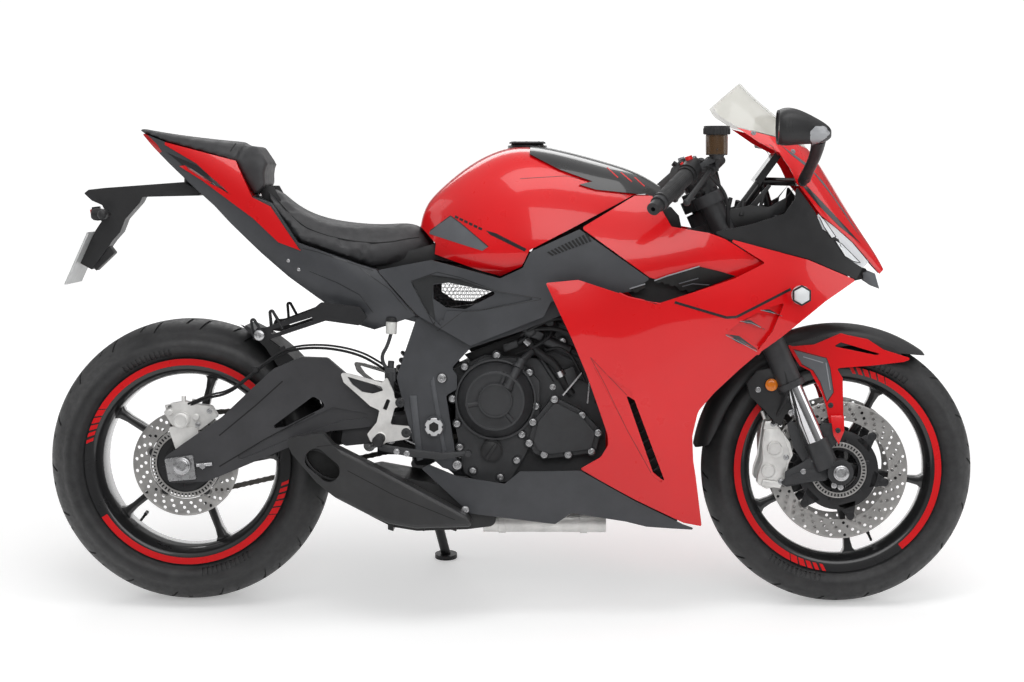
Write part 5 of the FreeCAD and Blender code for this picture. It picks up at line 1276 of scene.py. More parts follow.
def dress_fairing():
    line = [(352, 678), (464, 644), (486, 645), (560, 681), (606, 703)]
    twin_stripes("side_fairings", [line], 5.5, "fairing_stripe", *STRIPE)
    # A near-black patch over the intake opening: painted shade inside the intake.
    mouth = [
        (256, 706), (300, 719), (335, 732), (406, 753), (452, 742), (484, 732), (430, 712), (372, 694),
        (321, 680), (280, 688),
    ]
    faces = ("side_fairings", "frame_covers", "shoulder_panels")
    twin_patches(faces, [mouth], "intake_mouth_shade", "black_gloss", "black_and_hole_shade", 5, 2.4, 4.6)
    # A pale stripe along the intake's upper lip: a painted highlight on the edge.
    lip = [(256, 706), (300, 720), (335, 733), (406, 754)]
    twin_stripes(faces, [lip], 2.6, "intake_lip_highlight", *EDGE_HIGHLIGHT, 5.0)
    blades = [[(282, 690), (330, 700), (392, 716), (428, 713)], [(300, 700), (346, 712), (404, 728)]]
    twin_stripes(faces, blades, 2.2, "intake_blades", "black_satin", "mid_grey", 5.2)
    fins = [
        [(462, 608), (492, 604), (534, 572), (488, 590)], [(494, 636), (516, 638), (550, 616), (514, 628)],
        [(539, 659), (558, 660), (588, 645), (560, 652)],
    ]
    twin_patches("side_fairings", fins, "gill_shadows", *STRIPE, 3, 0.8, 0.5)
    # Pale lines along the gills' edges: painted highlights on the lips.
    edges = [
        [(494, 636), (520, 631), (548, 617)], [(539, 659), (562, 654), (586, 645)],
        [(463, 606), (494, 590), (532, 569)],
    ]
    twin_stripes("side_fairings", edges, 1.2, "gill_edge_highlights", *EDGE_HIGHLIGHT, 1.2)
    # Darker red lines along the vent's creases: painted shade in the creases.
    crease = [[(172, 560), (250, 478)], [(172, 560), (204, 500), (252, 400), (304, 306)]]
    twin_stripes("side_fairings", crease, 1.1, "vent_crease_shade", "red_paint", "red_shadow", 0.3)
    # Lighter red along the fairing's upper border: a painted highlight on the edge.
    border = [[(90, 746), (128, 748), (206, 712), (252, 690), (322, 675)]]
    twin_stripes("side_fairings", border, 2.4, "fairing_edge_highlights", "red_paint", "red_highlight", 0.4)
    dress_vents()


def dress_vents():
    """Dark louvres behind the slot of each side fairing."""
    pieces = []
    for s in SIDES:
        pieces.append(plate([(236, 504), (276, 486), (350, 286), (296, 288)], s * 150, s * 154, 0.6))
        for k in range(10):
            x, z = 254 + 7.6 * k, 478 - 20 * k
            blade = [(x - 12, z - 12), (x + 20, z + 10), (x + 21, z + 6.4), (x - 11, z - 15.6)]
            pieces.append(plate(blade, s * 153, s * 172, 0.5))
    settle(pieces, "vent_louvres", "chassis", *TRIM)
    dress_gap_shade()


def dress_gap_shade():
    """Dark plates set in the seams between the panels: painted shade, standing in for the shaded inside seen
    through the gaps.
    """
    walls = [
        ([(150, 288), (240, 266), (370, 214), (362, 194), (300, 208), (170, 250)], 140),
        ([(30, 760), (60, 800), (190, 872), (262, 912), (290, 880), (200, 820), (90, 750)], 90),
        ([(-300, 735), (-300, 762), (-160, 802), (-140, 770)], 98),
        ([(600, 792), (650, 778), (700, 756), (696, 728), (600, 752)], 56),
        ([(690, 758), (742, 736), (740, 712), (690, 726)], 30),
        ([(-562, 926), (-528, 926), (-508, 890), (-545, 884)], 60),
        ([(-104, 556), (10, 600), (100, 640), (204, 650), (204, 540), (50, 530), (-90, 540)], 96),
        ([(-300, 330), (-300, 386), (-200, 400), (-180, 330)], 50),
    ]
    pieces = [plate(outline, s * y, s * (y + 4), 0.6) for outline, y in walls for s in SIDES]
    pieces.append(plate(
        [(318, 866), (350, 880), (368, 860), (374, 832), (352, 826), (322, 834)], -36, 36, 2
    ))
    settle(pieces, "gap_shade_plates", "chassis", *TRIM)


def dress_tank():
    pad = [(-179, 828), (-133, 861), (-110, 845), (-49, 795), (-62, 786), (-120, 803), (-181, 821)]
    twin_patches("fuel_tank", [pad], "knee_pads", *GREY, 4, 0.5, 0.8)
    twin_stripes("fuel_tank", [pad[:4]], 1.6, "knee_pad_edges", *STRIPE, 1.1)
    taper = [(-54, 830), (-32, 824), (34, 791), (30, 785), (-45, 821)]
    twin_patches("fuel_tank", [taper], "tank_stripe", *STRIPE, 3, 0.5)
    dashes = []
    for k in range(6):
        x, z = -122 + 10.5 * k, 862 - 4.8 * k
        dashes.append([(x, z), (x + 7.5, z - 3.4), (x + 5.5, z - 8.2), (x - 2, z - 4.8)])
    twin_patches("fuel_tank", dashes, "tank_dashes", *STRIPE, 1, 0.5, 0.4)
    slots = [[(208, 966), (232, 944)], [(238, 956), (262, 935)], [(268, 945), (290, 925)]]
    twin_stripes("tank_cover", slots, 2.4, "tank_cover_slots", "red_paint", "red_tape", 0.4)
    # Darker red along the seam under the tank cover: painted shade in the seam.
    seam = [[(20, 942), (120, 948), (196, 930), (250, 904)]]
    twin_stripes("fuel_tank", seam, 1.3, "tank_seam_shade", "red_paint", "red_shadow", 0.3)
    cap = joined([
        turned((32, 0, 1019), (0, 0, 1), [(40, 0), (41, 1.5), (39, 4), (30, 5), (29, 3.6)], 48),
        ring_flat((32, 0, 1021), 26, 21, 2.2),
    ])
    settle(cap, "fuel_cap_ring", "chassis", *ENGINE)
    spots = []
    for k in range(7):
        a = 2 * math.pi * k / 7 + 0.2
        spots.append((32 + 34.5 * math.cos(a), 34.5 * math.sin(a), 1022.4))
    bolts(spots, 2.6, 2.2, "fuel_cap_bolts", "chassis", axis=(0, 0, 1))


def ring_flat(centre, outer, inner, tall):
    """A flat ring lying level."""
    disc = turned(centre, (0, 0, 1), [(outer, 0), (outer, tall)], 48, 0.4)
    hole = turned(Vector(centre) - Vector((0, 0, 4)), (0, 0, 1), [(inner, 0), (inner, tall + 8)], 48)
    return carve(disc, hole)


def dress_frame_covers():
    along = Vector((4.4, 2.0))
    slats = []
    for k in range(12):
        t = k / 11
        low = Vector((90, 776)).lerp(Vector((170, 806)), t)
        high = Vector((78, 784)).lerp(Vector((160, 823)), t)
        slats.append([tuple(low), tuple(low + along), tuple(high + along), tuple(high)])
    twin_patches("frame_covers", slats, "cover_hatching", "dark_grey", "black_and_hole_shade", 1, 0.9, 0.6)
    facets = [
        [(-214, 719), (-174, 734), (-152, 728), (-168, 714), (-170, 684), (-162, 616), (-180, 650)],
        [(-174, 735), (-116, 727), (-60, 711), (-30, 699), (-134, 718), (-166, 715)],
    ]
    twin_patches("frame_covers", facets, "cover_recess_shade", "dark_grey", "recess_dark", 3, 0.35, 0.3)
    window = [(-168, 713), (-135, 717), (-27, 696), (-60, 676), (-98, 660), (-140, 660), (-168, 682)]
    settle(mirrored(honeycomb(window, 9.2)), "cover_mesh", "chassis", *TRIM)
    # Charcoal lines along the cover's creases: painted shade in the creases.
    creases = [
        [(-216, 720), (-160, 740), (-110, 729), (-27, 699), (66, 684)],
        [(66, 682), (-80, 655), (-104, 655)], [(-104, 655), (-160, 612), (-216, 718)],
    ]
    twin_stripes("frame_covers", creases, 1.6, "cover_crease_shade", "dark_grey", "charcoal", 0.3)
    shade = [(-240, 752), (-200, 762), (-40, 742), (64, 790), (64, 740), (-60, 700), (-240, 730)]
    fillers = [plate(shade, s * 66, s * 70, 0.6) for s in SIDES]
    settle(fillers, "tank_shade", "chassis", *TRIM)


def honeycomb(window, step):
    """A wire net of six-sided cells that fills a window, on the right-hand side."""
    clear_selection()
    bpy.ops.mesh.primitive_circle_add(vertices=6, radius=step / math.sqrt(3), fill_type="NGON")
    cell = bpy.context.object
    cell.data.transform(Matrix.Rotation(math.radians(90), 4, "X") @ Matrix.Rotation(
        math.radians(30), 4, "Z"
    ))
    spots = []
    for row in range(-6, 8):
        for column in range(-10, 20):
            x = -170 + step * (column + 0.5 * (row % 2))
            z = 655 + step * 0.866 * row
            if inside(window, x, z):
                spots.append(Matrix.Translation((x, 0, z)))
    net = copied(cell, spots)
    clear_selection()
    bpy.context.view_layer.objects.active = net
    open_for_edit()
    close_edit()
    wire = net.modifiers.new("wire", "WIREFRAME")
    wire.thickness = 1.5
    applied(net, wire)
    net.data.transform(Matrix.Translation((0, -168, 0)))
    return net


def inside(outline, x, z):
    """Whether a point of the side view lies inside an outline."""
    odd = False
    for (ax, az), (bx, bz) in zip(outline, [*outline[1:], outline[0]]):
        if (az > z) != (bz > z) and x < (bx - ax) * (z - az) / (bz - az) + ax:
            odd = not odd
    return odd


def dress_nose():
    grey = [
        (587, 1014), (638, 978), (680, 936), (726, 876), (766, 816), (749, 838), (703, 902), (657, 956),
        (610, 992),
    ]
    twin_patches("nose_cowl", [grey], "hood_grey_stripe", *GREY, 4, 0.5, 0.4)
    dark = [(624, 935), (640, 928), (681, 887), (732, 836), (768, 799), (716, 838), (668, 884)]
    twin_patches("nose_cowl", [dark], "hood_dark_stripe", *STRIPE, 4, 0.5, 0.4)
    # Darker red along the edge of the nose cowl: painted shade at the edge.
    edge = [[(560, 1016), (566, 1012), (592, 972), (620, 930)]]
    twin_stripes("nose_cowl", edge, 1.6, "hood_edge_shade", "red_paint", "red_shadow", 0.3)
    screws = [
        spot_on(("nose_cowl", "windscreen"), x, z, s) for x, z in ((526, 1040), (612, 1000)) for s in SIDES
    ]
    bolts([q for q in screws if q], 4.4, 3, "screen_screws", "chassis", "plate_white", "pale_grey")
    lenses = [
        [(667, 866), (682, 852), (709, 815), (699, 812), (682, 836)],
        [(706, 808), (723, 799), (766, 757), (750, 760), (730, 772)],
    ]
    faces = ("headlights", "nose_sides", "nose_cowl")
    twin_patches(faces, lenses, "headlight_lenses", "lamp_lens", "white_lamp", 3, 0.8, 0.6)
    rims = [[*lens, lens[0]] for lens in lenses]
    twin_stripes(faces, rims, 1.5, "headlight_rims", *STRIPE, 1.1)
    chin = [(774, 734), (788, 738), (802, 732), (812, 698), (796, 704), (778, 716)]
    settle([plate(chin, s * 22, s * 27, 1) for s in SIDES], "chin_blades", "chassis", *GREY)
    bridge = plate([(744, 744), (764, 750), (784, 742), (786, 722), (752, 714)], -14, 14, 1)
    settle(bridge, "chin_bridge", "chassis", *TRIM)
    pods = [
        turned((628, s * 181, 690), (0, s, 0), [(19, 0), (19, 2), (15, 6), (8, 7.6)], 6, 0.8) for s in SIDES
    ]
    settle(pods, "front_indicator_lenses", "chassis", "lamp_lens", "white_lamp")
    bezels = [
        turned((628, s * 179, 690), (0, s, 0), [(23, 0), (23, 3.4), (21, 4.4)], 6, 0.8) for s in SIDES
    ]
    settle(bezels, "front_indicator_rims", "chassis", *TRIM)


def dress_tail():
    groove = [(-764, 1000), (-742, 990), (-694, 971), (-636, 926), (-622, 912), (-660, 930), (-730, 974)]
    twin_patches(("tail_cowl", "tail_panels"), [groove], "tail_slots", *STRIPE, 3, 0.5, 0.5)
    lines = [[(-716, 1014), (-602, 984)], [(-602, 984), (-566, 902)], [(-524, 880), (-461, 788)]]
    twin_stripes(("tail_panels", "tail_cowl"), lines, 1.6, "tail_seams", *STRIPE, 0.4)
    seams = [[(-500, 800), (-420, 782), (-330, 752), (-300, 742)], [(-330, 748), (-262, 700), (-226, 656)],
             [(-440, 740), (-380, 716), (-330, 690), (-300, 650)]]
    twin_stripes("tail_cowl", seams, 1.5, "tail_cowl_seams", "dark_grey", "charcoal", 0.3)
    screws = [spot_on("tail_cowl", x, z, s) for x, z in ((-487, 763), (-464, 744)) for s in SIDES]
    bolts([q for q in screws if q], 3.2, 2, "tail_cowl_screws", "chassis")
    steps = [(11, 0), (12, 1.4), (11, 5), (8, 6.4), (4, 6.4), (3.6, 3)]
    knobs = [turned((-545, s * 191.6, 603), (0, s, 0), steps, 24) for s in SIDES]
    settle(knobs, "hook_knobs", "chassis", "steel")
    dress_plate_carrier()


def dress_plate_carrier():
    steps = [(12, -12), (14, 0), (13, 10), (9, 15)]
    pods = [turned((-900, s * 86, 863), (-1, 0, 0), steps, 20) for s in SIDES]
    settle(pods, "rear_indicator_bodies", "chassis", *TRIM)
    lenses = [turned((-914, s * 86, 863), (-1, 0, 0), [(11.6, 0), (11, 5), (7, 8.4)], 20) for s in SIDES]
    settle(lenses, "rear_indicator_lenses", "chassis", "lamp_lens", "amber")
    bits = [
        plate([(-940, 878), (-924, 880), (-926, 862), (-938, 864)], -16, 16, 2),
        turned((-918, 0, 862), (-1, 0, -0.4), [(13, 0), (13, 8), (10, 10)], 20),
        plate([(-946, 812), (-922, 820), (-888, 776), (-930, 736), (-944, 760)], -22, 22, 2),
        bar((-852, -26, 905), (-852, 26, 905), 5), bar((-906, -30, 846), (-906, 30, 846), 6),
    ]
    settle(bits, "carrier_details", "chassis", *TRIM)
    lamp = plate([(-944, 872), (-940, 874), (-938, 862), (-942, 860)], -12, 12, 0.6)
    settle(lamp, "plate_reflector", "chassis", "red_lens")
    rim = [(-935.2, 822.4), (-986.2, 709.8)]
    (top_x, top_z), (foot_x, foot_z) = rim
    border = [bar((top_x, s * 93, top_z), (foot_x, s * 93, foot_z), 1.6, 8) for s in SIDES]
    border += [bar((x, -93, z), (x, 93, z), 1.6, 8) for x, z in rim]
    settle(border, "plate_rim", "chassis", "plate_white")


# Handlebars, cockpit, mirrors and front end


def dress_grips():
    for s in SIDES:
        tag = "right" if s < 0 else "left"
        root, tip = Vector((378, s * 232, 950)), Vector((312, s * 352, 888))
        run = (tip - root).normalized()
        length = (tip - root).length
        steps = [(17.2, 2), (21, 3), (21, 7), (17.6, 8)]
        at = 12
        while at < length - 24:
            steps += [(17.6, at), (18.4, at + 0.8), (18.4, at + 3.2), (17.6, at + 4)]
            at += 5.4
        steps += [(19.5, length - 18), (19.5, length - 13), (17, length - 12)]
        grip = turned(root, run, steps, 24)
        settle(grip, f"{tag}_grip", "front_end", "black_satin", "grip_rubber")
        weight = turned(
            root + run * (length - 12), run,
            [(16.5, 0), (17.6, 1.5), (17.6, 9), (15, 11.6), (6, 11.6), (5.6, 6)], 28
        )
        settle(weight, f"{tag}_grip_end", "front_end", *ENGINE)
        dress_switches(s, tag, root, run)


def dress_switches(s, tag, root, run):
    """Switch housing, clamp and lever details inboard of one grip."""
    start = root - run * 34

    def peg(along, low, high, radius, sides=14):
        """A knob at a distance along the grip, between two (x, z) offsets."""
        at = start + run * along
        return bar(at + Vector((low[0], 0, low[1])), at + Vector((high[0], 0, high[1])), radius, sides)

    box = turned(start, run, [(19, 0), (23, 2), (24, 10), (24, 27), (21, 31), (18, 32)], 20, 0.8)
    knobs = [peg(10, (-16, 12), (-26, 18), 5.5), peg(22, (-14, 15), (-22, 21), 4.5)]
    settle([box, *knobs, peg(16, (14, 12), (20, 24), 6)], f"{tag}_switches", "front_end", *TRIM)
    slot, finish = ("red_paint", "red_switch") if s < 0 else ("black_satin", "pale_grey")
    keys = [peg(12, (-4, 22), (-7, 31), 8, 18), peg(25, (-12, 16), (-17, 22), 4, 12)]
    settle(keys, f"{tag}_switch_key", "front_end", slot, finish)
    hub = start + Vector((34, 0, 4))
    master = [
        bar(start - run * 12 + Vector((30, 0, 12)), start + run * 22 + Vector((38, 0, 6)), 11, 20),
        bar(hub + Vector((0, 0, -9)), hub + Vector((0, 0, 13)), 7, 16),
        bar(hub + run * 8 + Vector((10, 0, 0)), hub + run * 30 + Vector((14, 0, 2)), 5, 14),
    ]
    if s < 0:
        master.append(bar((441, -222, 992), start + Vector((32, 0, 12)), 6, 14))
    settle(master, f"{tag}_lever_perch", "front_end", *ENGINE)
    spots = [hub + Vector((0, 0, 13)), start + Vector((2, 0, 23)), start + run * 8 + Vector((4, 0, 22))]
    bolts(spots, 3.6, 4, f"{tag}_perch_bolts", "front_end", axis=(0, 0, 1))


def dress_fluid_pot():
    base = Vector((441, -222, 992))
    lid = turned(
        base + Vector((0, 0, 44)), (0, 0, 1),
        [(27, -1), (28.2, 0), (28.2, 12), (27, 16), (24, 17.6), (10, 17.6)], 36, 0.5
    )
    ribs = []
    for k in range(24):
        a = 2 * math.pi * k / 24
        p = base + Vector((28 * math.cos(a), 28 * math.sin(a), 45))
        ribs.append(bar(p, p + Vector((0, 0, 12)), 1.3, 6, 0.3))
    settle([lid, *ribs], "pot_lid", "front_end", *TRIM)
    glass = turned(base, (0, 0, 1), [(20, 0), (23.4, 2), (23.8, 20), (23.8, 42), (22, 44)], 36)
    settle(glass, "pot_glass", "front_end", "black_satin", "smoke")
    feet = [
        bar(base + Vector((0, -23.6, 12)), base + Vector((0, -24.2, 13)), 2, 8, 0.2),
        turned(base + Vector((0, 0, -8)), (0, 0, 1), [(12, 0), (14, 3), (17, 8)], 24),
        hose(
            [base + Vector((-6, 0, -4)), base + Vector((-14, 4, -14)), (420, -216, 968), (404, -214, 962)],
            4.5
        ),
        plate([(400, 958), (446, 982), (450, 990), (432, 992), (396, 968)], -226, -218, 1.4),
    ]
    settle(feet, "pot_bracket", "front_end", *ENGINE)


def dress_yokes():
    """Fork caps with their adjusters, and the lines that run down from the controls."""
    pieces, rings = [], []
    for s in SIDES:
        top = fork_top(s)
        pieces.append(turned(
            top - FORK_RUN, FORK_RUN, [(20, 0), (20, 3), (17, 4), (12, 4), (12, 9), (10, 10)], 32, 0.4
        ))
        rings.append(turned(top + FORK_RUN * 9, FORK_RUN, [(6, 0), (6, 5), (4.6, 6)], 16))
    settle(pieces, "fork_caps", "front_end", *ENGINE)
    settle(rings, "fork_adjusters", "front_end", "red_paint", "red_switch")
    lines = [
        hose([(412, -206, 962), (440, -180, 940), (470, -150, 900), (470, -124, 840), (482, -112, 780)], 4),
        hose([(384, -196, 946), (404, -150, 930), (430, -110, 890), (452, -100, 850)], 4.5),
        hose([(384, 196, 946), (404, 150, 930), (430, 110, 890), (452, 100, 850)], 4.5),
        hose([(376, -190, 962), (398, -120, 985), (420, -40, 965), (440, 0, 930)], 3.4),
        hose([(376, 190, 962), (398, 120, 985), (420, 40, 965), (440, 0, 930)], 3.4),
        hose([(402, -200, 976), (436, -150, 990), (452, -90, 940), (464, -70, 880)], 3),
    ]
    settle(lines, "control_lines", "front_end", *RUBBER)


def fork_top(s):
    """The middle of one fork leg's top, read from its sub-part."""
    legs = CAD["fork_legs"]
    back = STANCE.inverted()
    points = [back @ (legs.matrix_world @ vertex.co) / MM for vertex in legs.data.vertices]
    near = [p for p in points if p.y * s > 0]
    highest = max(near, key=lambda p: p.z)
    rim = [p for p in near if p.dot(FORK_RUN) > highest.dot(FORK_RUN) - 2]
    return sum(rim, Vector((0, 0, 0))) / len(rim)


def dress_fork():
    sheet = [
        (515, 495), (537, 522), (571, 529), (591, 497), (611, 457), (618, 426), (600, 426), (591, 399),
        (577, 408), (555, 435), (522, 466),
    ]
    guards = [plate(sheet, s * 100, s * 106, 1.5) for s in SIDES]
    settle(guards, "fork_guards", "front_end", *TRIM)
    glass, rim = [], []
    for s in SIDES:
        at = Vector((569, s * 106, 491))
        rim.append(turned(at, (0, s, 0), [(16, 0), (16, 3), (15, 4), (14, 4), (14, 2.4)], 36))
        dome = [(13.6, 0), (13.6, 2.4), (11, 4.4), (6, 5.2)]
        glass.append(turned(at + Vector((0, s * 2, 0)), (0, s, 0), dome, 36))
    settle(rim, "reflector_rims", "front_end", *TRIM)
    settle(glass, "fork_reflectors", "front_end", "lamp_lens", "amber")
    bolts(
        [(612, -108, 430), (612, 108, 430), (540, -106, 480), (540, 106, 480)], 4.6, 4, "fork_guard_bolts",
        "front_end"
    )
    insert = [
        (619, 566), (655, 556), (691, 547), (698, 527), (704, 492), (706, 473), (693, 453), (678, 494),
        (662, 521), (637, 536),
    ]
    twin_patches("fender_cheeks", [insert], "cheek_inserts", *GREY, 3, 0.5, 0.6, "front_end")
    # Pale lines along the insert's raised rim: painted highlights on the ribs.
    ribs = [[(640, 551), (684, 538)], [(690, 538), (700, 478)]]
    twin_stripes("fender_cheeks", ribs, 2.2, "cheek_rib_highlights", *EDGE_HIGHLIGHT, 1.2, "front_end")
    border = [
        (619, 567), (691, 548), (699, 527), (707, 473), (693, 452), (678, 495), (662, 521), (636, 535),
    ]
    twin_stripes("fender_cheeks", [border], 1.4, "cheek_edges", *STRIPE, 0.9, "front_end")
    bolts(
        [(701, -81, 444), (715, -107, 391), (701, 81, 444), (715, 107, 391)], 4.6, 4, "cheek_bolts",
        "front_end", *ENGINE
    )
    tips = [
        plate([(698, 424), (728, 424), (729, 390), (717, 360), (705, 380)], s * 104.4, s * 108, 1)
        for s in SIDES
    ]
    settle(tips, "cheek_tips", "front_end", "red_paint")
    dress_front_calipers()


def dress_front_calipers():
    domes, ribs, pins = [], [], []
    for s in SIDES:
        for x, z in ((564, 300), (577, 350)):
            steps = [(16.5, 0), (16.5, 4), (14.5, 6), (13, 6), (12.4, 4.6)]
            domes.append(turned((x, s * 94, z), (0, s, 0), steps, 32))
        body = [
            (556, 404), (580, 408), (600, 372), (612, 336), (604, 312), (596, 282), (584, 268), (562, 264),
            (548, 272), (552, 318), (550, 360),
        ]
        ribs.append(plate(body, s * 90, s * 95, 2))
        ribs.append(plate([(548, 268), (590, 262), (596, 276), (552, 282)], s * 88, s * 99, 2))
        ribs.append(plate([(552, 392), (586, 396), (578, 412), (556, 410)], s * 88, s * 99, 2))
        ribs.append(bar((556, s * 90, 414), (550, s * 90, 432), 4, 14))
        pins += [(592, s * 98, 276), (574, s * 98, 404), (603, s * 94, 330)]
    settle([*domes, *ribs], "caliper_bodies", "front_end", "cast_silver")
    bolts(pins, 5, 4, "caliper_bolts", "front_end")
    thick = [
        (576, 98, 412), (590, 112, 440), (604, 126, 470), (600, 130, 520), (566, 122, 580), (552, 116, 616),
    ]
    thin = [(650, 118, 330), (632, 122, 380), (622, 128, 430), (606, 132, 500), (578, 124, 560)]
    lines = []
    for s in SIDES:
        lines.append(hose([(x, s * y, z) for x, y, z in thick], 3.6))
        lines.append(hose([(x, s * y, z) for x, y, z in thin], 2.4))
        lines.append(bar((573, s * 98, 404), (579, s * 98, 418), 5.4, 14))
    settle(lines, "brake_lines", "front_end", *RUBBER)
    feet = []
    for s in SIDES:
        arm = [
            (600, 300), (640, 322), (662, 346), (676, 336), (696, 300), (690, 280), (640, 276), (598, 270),
        ]
        feet.append(plate(arm, s * 104, s * 108, 1.6))
        rib = [(612, 292), (650, 306), (672, 304), (684, 290), (640, 284)]
        feet.append(plate(rib, s * 107.6, s * 109.4, 0.8))
    settle(feet, "fork_foot_ribs", "front_end", *ENGINE)
    spots = [(x, s * 124, z) for s in SIDES for x, z in ((720, 268), (706, 272))]
    spots += [(640, -108, 300), (664, -108, 326)]
    bolts(spots, 5, 5, "fork_foot_bolts", "front_end")


def mirror_oval(centre, wide, tall):
    """A squarish oval round a mirror's middle, in (y, z)."""
    outline = []
    for k in range(32):
        across, up = math.cos(2 * math.pi * k / 32), math.sin(2 * math.pi * k / 32)
        y = centre.y + wide * math.copysign(abs(across) ** 0.8, across)
        outline.append((y, centre.z + tall * math.copysign(abs(up) ** 0.8, up)))
    return outline


def dress_mirrors():
    for s in SIDES:
        tag = "right" if s < 0 else "left"
        centre = Vector((565.4, s * 356, 1049))
        glass = faced(mirror_oval(centre, 52, 32), 563.6, 566.4, 0.5)
        settle(glass, f"{tag}_mirror_glass", "chassis", "chrome", "mirror_glass")
        boot = faced(mirror_oval(centre, 52 * 1.09, 32 * 1.14), 560.4, 565.4, 1.6)
        carve(boot, faced(mirror_oval(centre, 52 * 0.985, 32 * 0.98), 550, 575, 0))
        settle(boot, f"{tag}_mirror_rim", "chassis", *RUBBER)
    lens = [(624, 1040), (635, 1051), (657, 1051), (669, 1036), (657, 1024), (635, 1012), (625, 1022)]
    twin_patches("mirrors", [lens], "mirror_lenses", "lamp_lens", "pale_lens", 3, 0.6, 0.6)
    border = [[*lens, lens[0]]]
    twin_stripes("mirrors", border, 1.3, "mirror_lens_rims", *STRIPE, 1.0)
    seam = [
        [(590, 1084), (586, 1050), (592, 1018)], [(583, 1086), (579, 1050), (585, 1016)],
        [(576, 1086), (572, 1050), (578, 1016)],
    ]
    twin_stripes("mirrors", seam, 1.5, "mirror_boot_rings", *RUBBER, 0.1)


def faced(outline, x_from, x_to, edge):
    """A plate seen from behind the bike: a filled ring of (y, z) corners, extruded along it."""
    return prism([(x_from, y, z) for y, z in outline], (x_to - x_from, 0, 0), edge)


def dress_cockpit():
    """The inner trim between the dash and the nose, seen above the side panels."""
    walls = []
    for s in SIDES:
        wall = [
            (430, 856), (470, 872), (520, 884), (560, 880), (596, 900), (622, 930), (600, 900), (596, 872),
            (560, 850), (500, 838), (440, 830),
        ]
        walls.append(plate(wall, s * 112, s * 116, 1))
        walls.append(plate([(520, 884), (560, 930), (566, 926), (534, 880)], s * 100, s * 112, 1))
        walls.append(bar((540, s * 108, 872), (552, s * 108, 912), 4, 12))
        walls.append(bar((470, s * 112, 868), (478, s * 104, 900), 5, 12))
        walls.append(bar((500, s * 114, 860), (506, s * 104, 892), 6, 12))
    settle(walls, "cockpit_trim", "chassis", *TRIM)


# Seats


def soft_seat(name, scale, cap):
    """A seat pad from its sub-part: remeshed, filled with a little pressure and settled as cloth."""
    node = CAD[name]
    clear_selection()
    piece = clone_of(node)
    piece.parent = None
    piece.matrix_world = node.matrix_world
    piece.select_set(True)
    bpy.context.view_layer.objects.active = piece
    bpy.ops.object.transform_apply(location=True, rotation=True, scale=True)
    low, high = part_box(name)
    middle = (Vector(low) + Vector(high)) / 2
    shrink = Matrix.Diagonal((scale, scale, scale, 1))
    piece.data.transform(Matrix.Translation(middle) @ shrink @ Matrix.Translation(-middle))
    open_for_edit()
    bpy.ops.mesh.remove_doubles(threshold=0.0001)
    bpy.ops.mesh.normals_make_consistent(inside=False)
    bpy.ops.object.mode_set(mode="OBJECT")
    even = piece.modifiers.new("even", "REMESH")
    even.mode = "VOXEL"
    even.voxel_size = 0.0055
    applied(piece, even)
    ease = piece.modifiers.new("ease", "SMOOTH")
    ease.factor = 0.5
    ease.iterations = 4
    applied(piece, ease)
    fill_out(piece, cap)
    fine = piece.modifiers.new("fine", "SUBSURF")
    fine.levels = fine.render_levels = 1
    applied(piece, fine)
    piece.data.transform(Matrix.Diagonal((1 / MM, 1 / MM, 1 / MM, 1)) @ STANCE.inverted())
    return piece


def fill_out(piece, cap):
    """Blows the pad up softly for twenty frames, no point moving further than the cap."""
    start = [v.co.copy() for v in piece.data.vertices]
    soft = piece.modifiers.new("soft", "CLOTH")
    cloth = soft.settings
    cloth.quality = 5
    cloth.mass = 0.3
    cloth.tension_stiffness = cloth.compression_stiffness = 12
    cloth.bending_stiffness = 2.5
    cloth.use_pressure = True
    cloth.uniform_pressure_force = 4
    cloth.effector_weights.gravity = 0
    scene = bpy.context.scene
    for step in range(1, 21):
        scene.frame_set(step)
    applied(piece, soft)
    scene.frame_set(1)
    for vertex, before in zip(piece.data.vertices, start):
        move = vertex.co - before
        if move.length > cap:
            vertex.co = before + move * (cap / move.length)


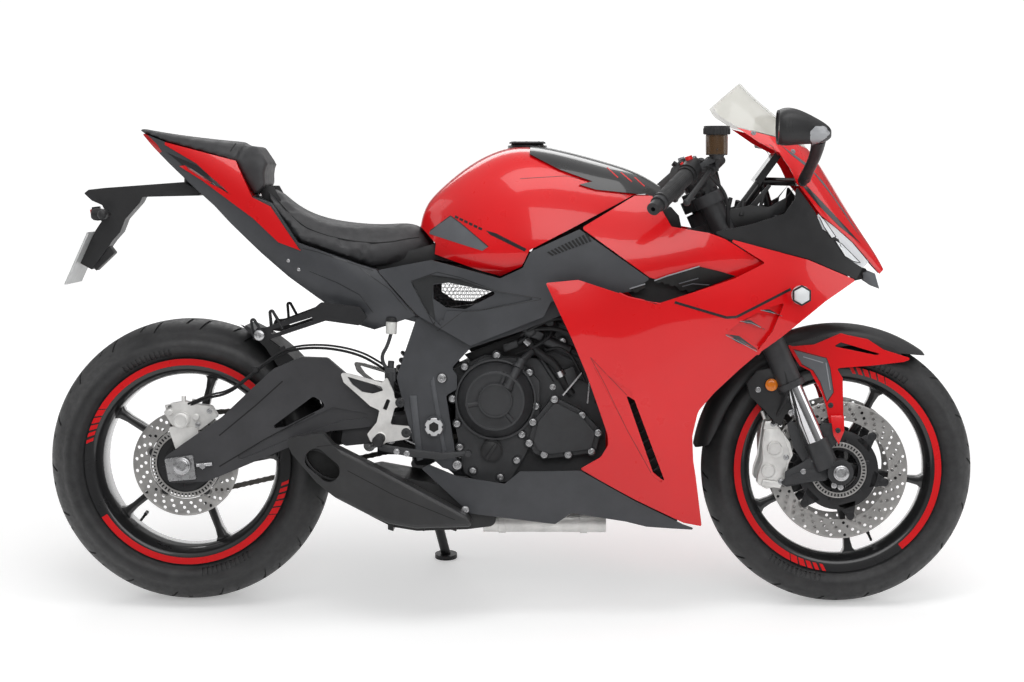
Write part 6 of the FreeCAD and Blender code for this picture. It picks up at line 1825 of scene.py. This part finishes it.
def seat_seam(seat, line, radius):
    """A stitched welt that follows the seat's surface along a line drawn in the side view."""
    welts = []
    for side in SIDES:
        points = []
        for x, z in line:
            hit, place = seat.ray_cast(Vector((x, side * 400, z)), Vector((0, -side, 0)))[:2]
            if hit and abs(place.y) > 20:
                points.append(place + Vector((0, side * radius * 0.2, 0)))
        if len(points) > 3:
            welts.append(hose(points, radius, 1, 3))
    return joined(welts) if welts else None


def dress_seats():
    side = [
        (-524, 900), (-505, 882), (-480, 858), (-455, 838), (-430, 827), (-400, 817), (-370, 810),
        (-340, 805),
    ]
    side += [(-310, 802), (-280, 802), (-250, 806), (-225, 811), (-205, 813)]
    back = [(-618, 1002), (-615, 1008), (-612, 1014), (-610, 1018)]
    for name, line, scale, cap in (
        ("rider_seat", side, 0.985, 0.007), ("passenger_seat", back, 0.994, 0.003),
    ):
        seat = soft_seat(name, scale, cap)
        bpy.context.view_layer.update()
        seam = seat_seam(seat, line, 1.5)
        settle(seat, name + "_pad", "chassis", "seat_vinyl", smooth=60)
        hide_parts(name)
        if seam:
            settle(seam, name + "_welt", "chassis", "seat_vinyl", "hose_rubber")


NODE_FINISH = {
    "swingarm": "arm_black", "muffler": "exhaust_black", "engine_block": "engine_black",
    "engine_covers": "engine_black", "nose_sides": "nose_black", "fork_yokes": "engine_black",
    "fork_feet": "engine_black",
}


def paint_nodes():
    """Every sub-part of the frame takes a finish of its own, or else its slot's."""
    for name, node in CAD.items():
        node.data.materials.clear()
        node.data.materials.append(FINISHES[NODE_FINISH.get(name, SLOTS[name])])


clear_selection()
set_camera()
light_studio()
lay_floor()
paint_nodes()
bpy.context.scene.view_settings.view_transform = "Standard"
dress_wheels()
dress_engine()
dress_frame()
dress_swingarm()
dress_rear_caliper()
dress_chain()
dress_foot_controls()
dress_exhaust()
dress_shock()
dress_fairing()
dress_tank()
dress_frame_covers()
dress_nose()
dress_tail()
dress_grips()
dress_fluid_pot()
dress_yokes()
dress_fork()
dress_mirrors()
dress_cockpit()
dress_seats()
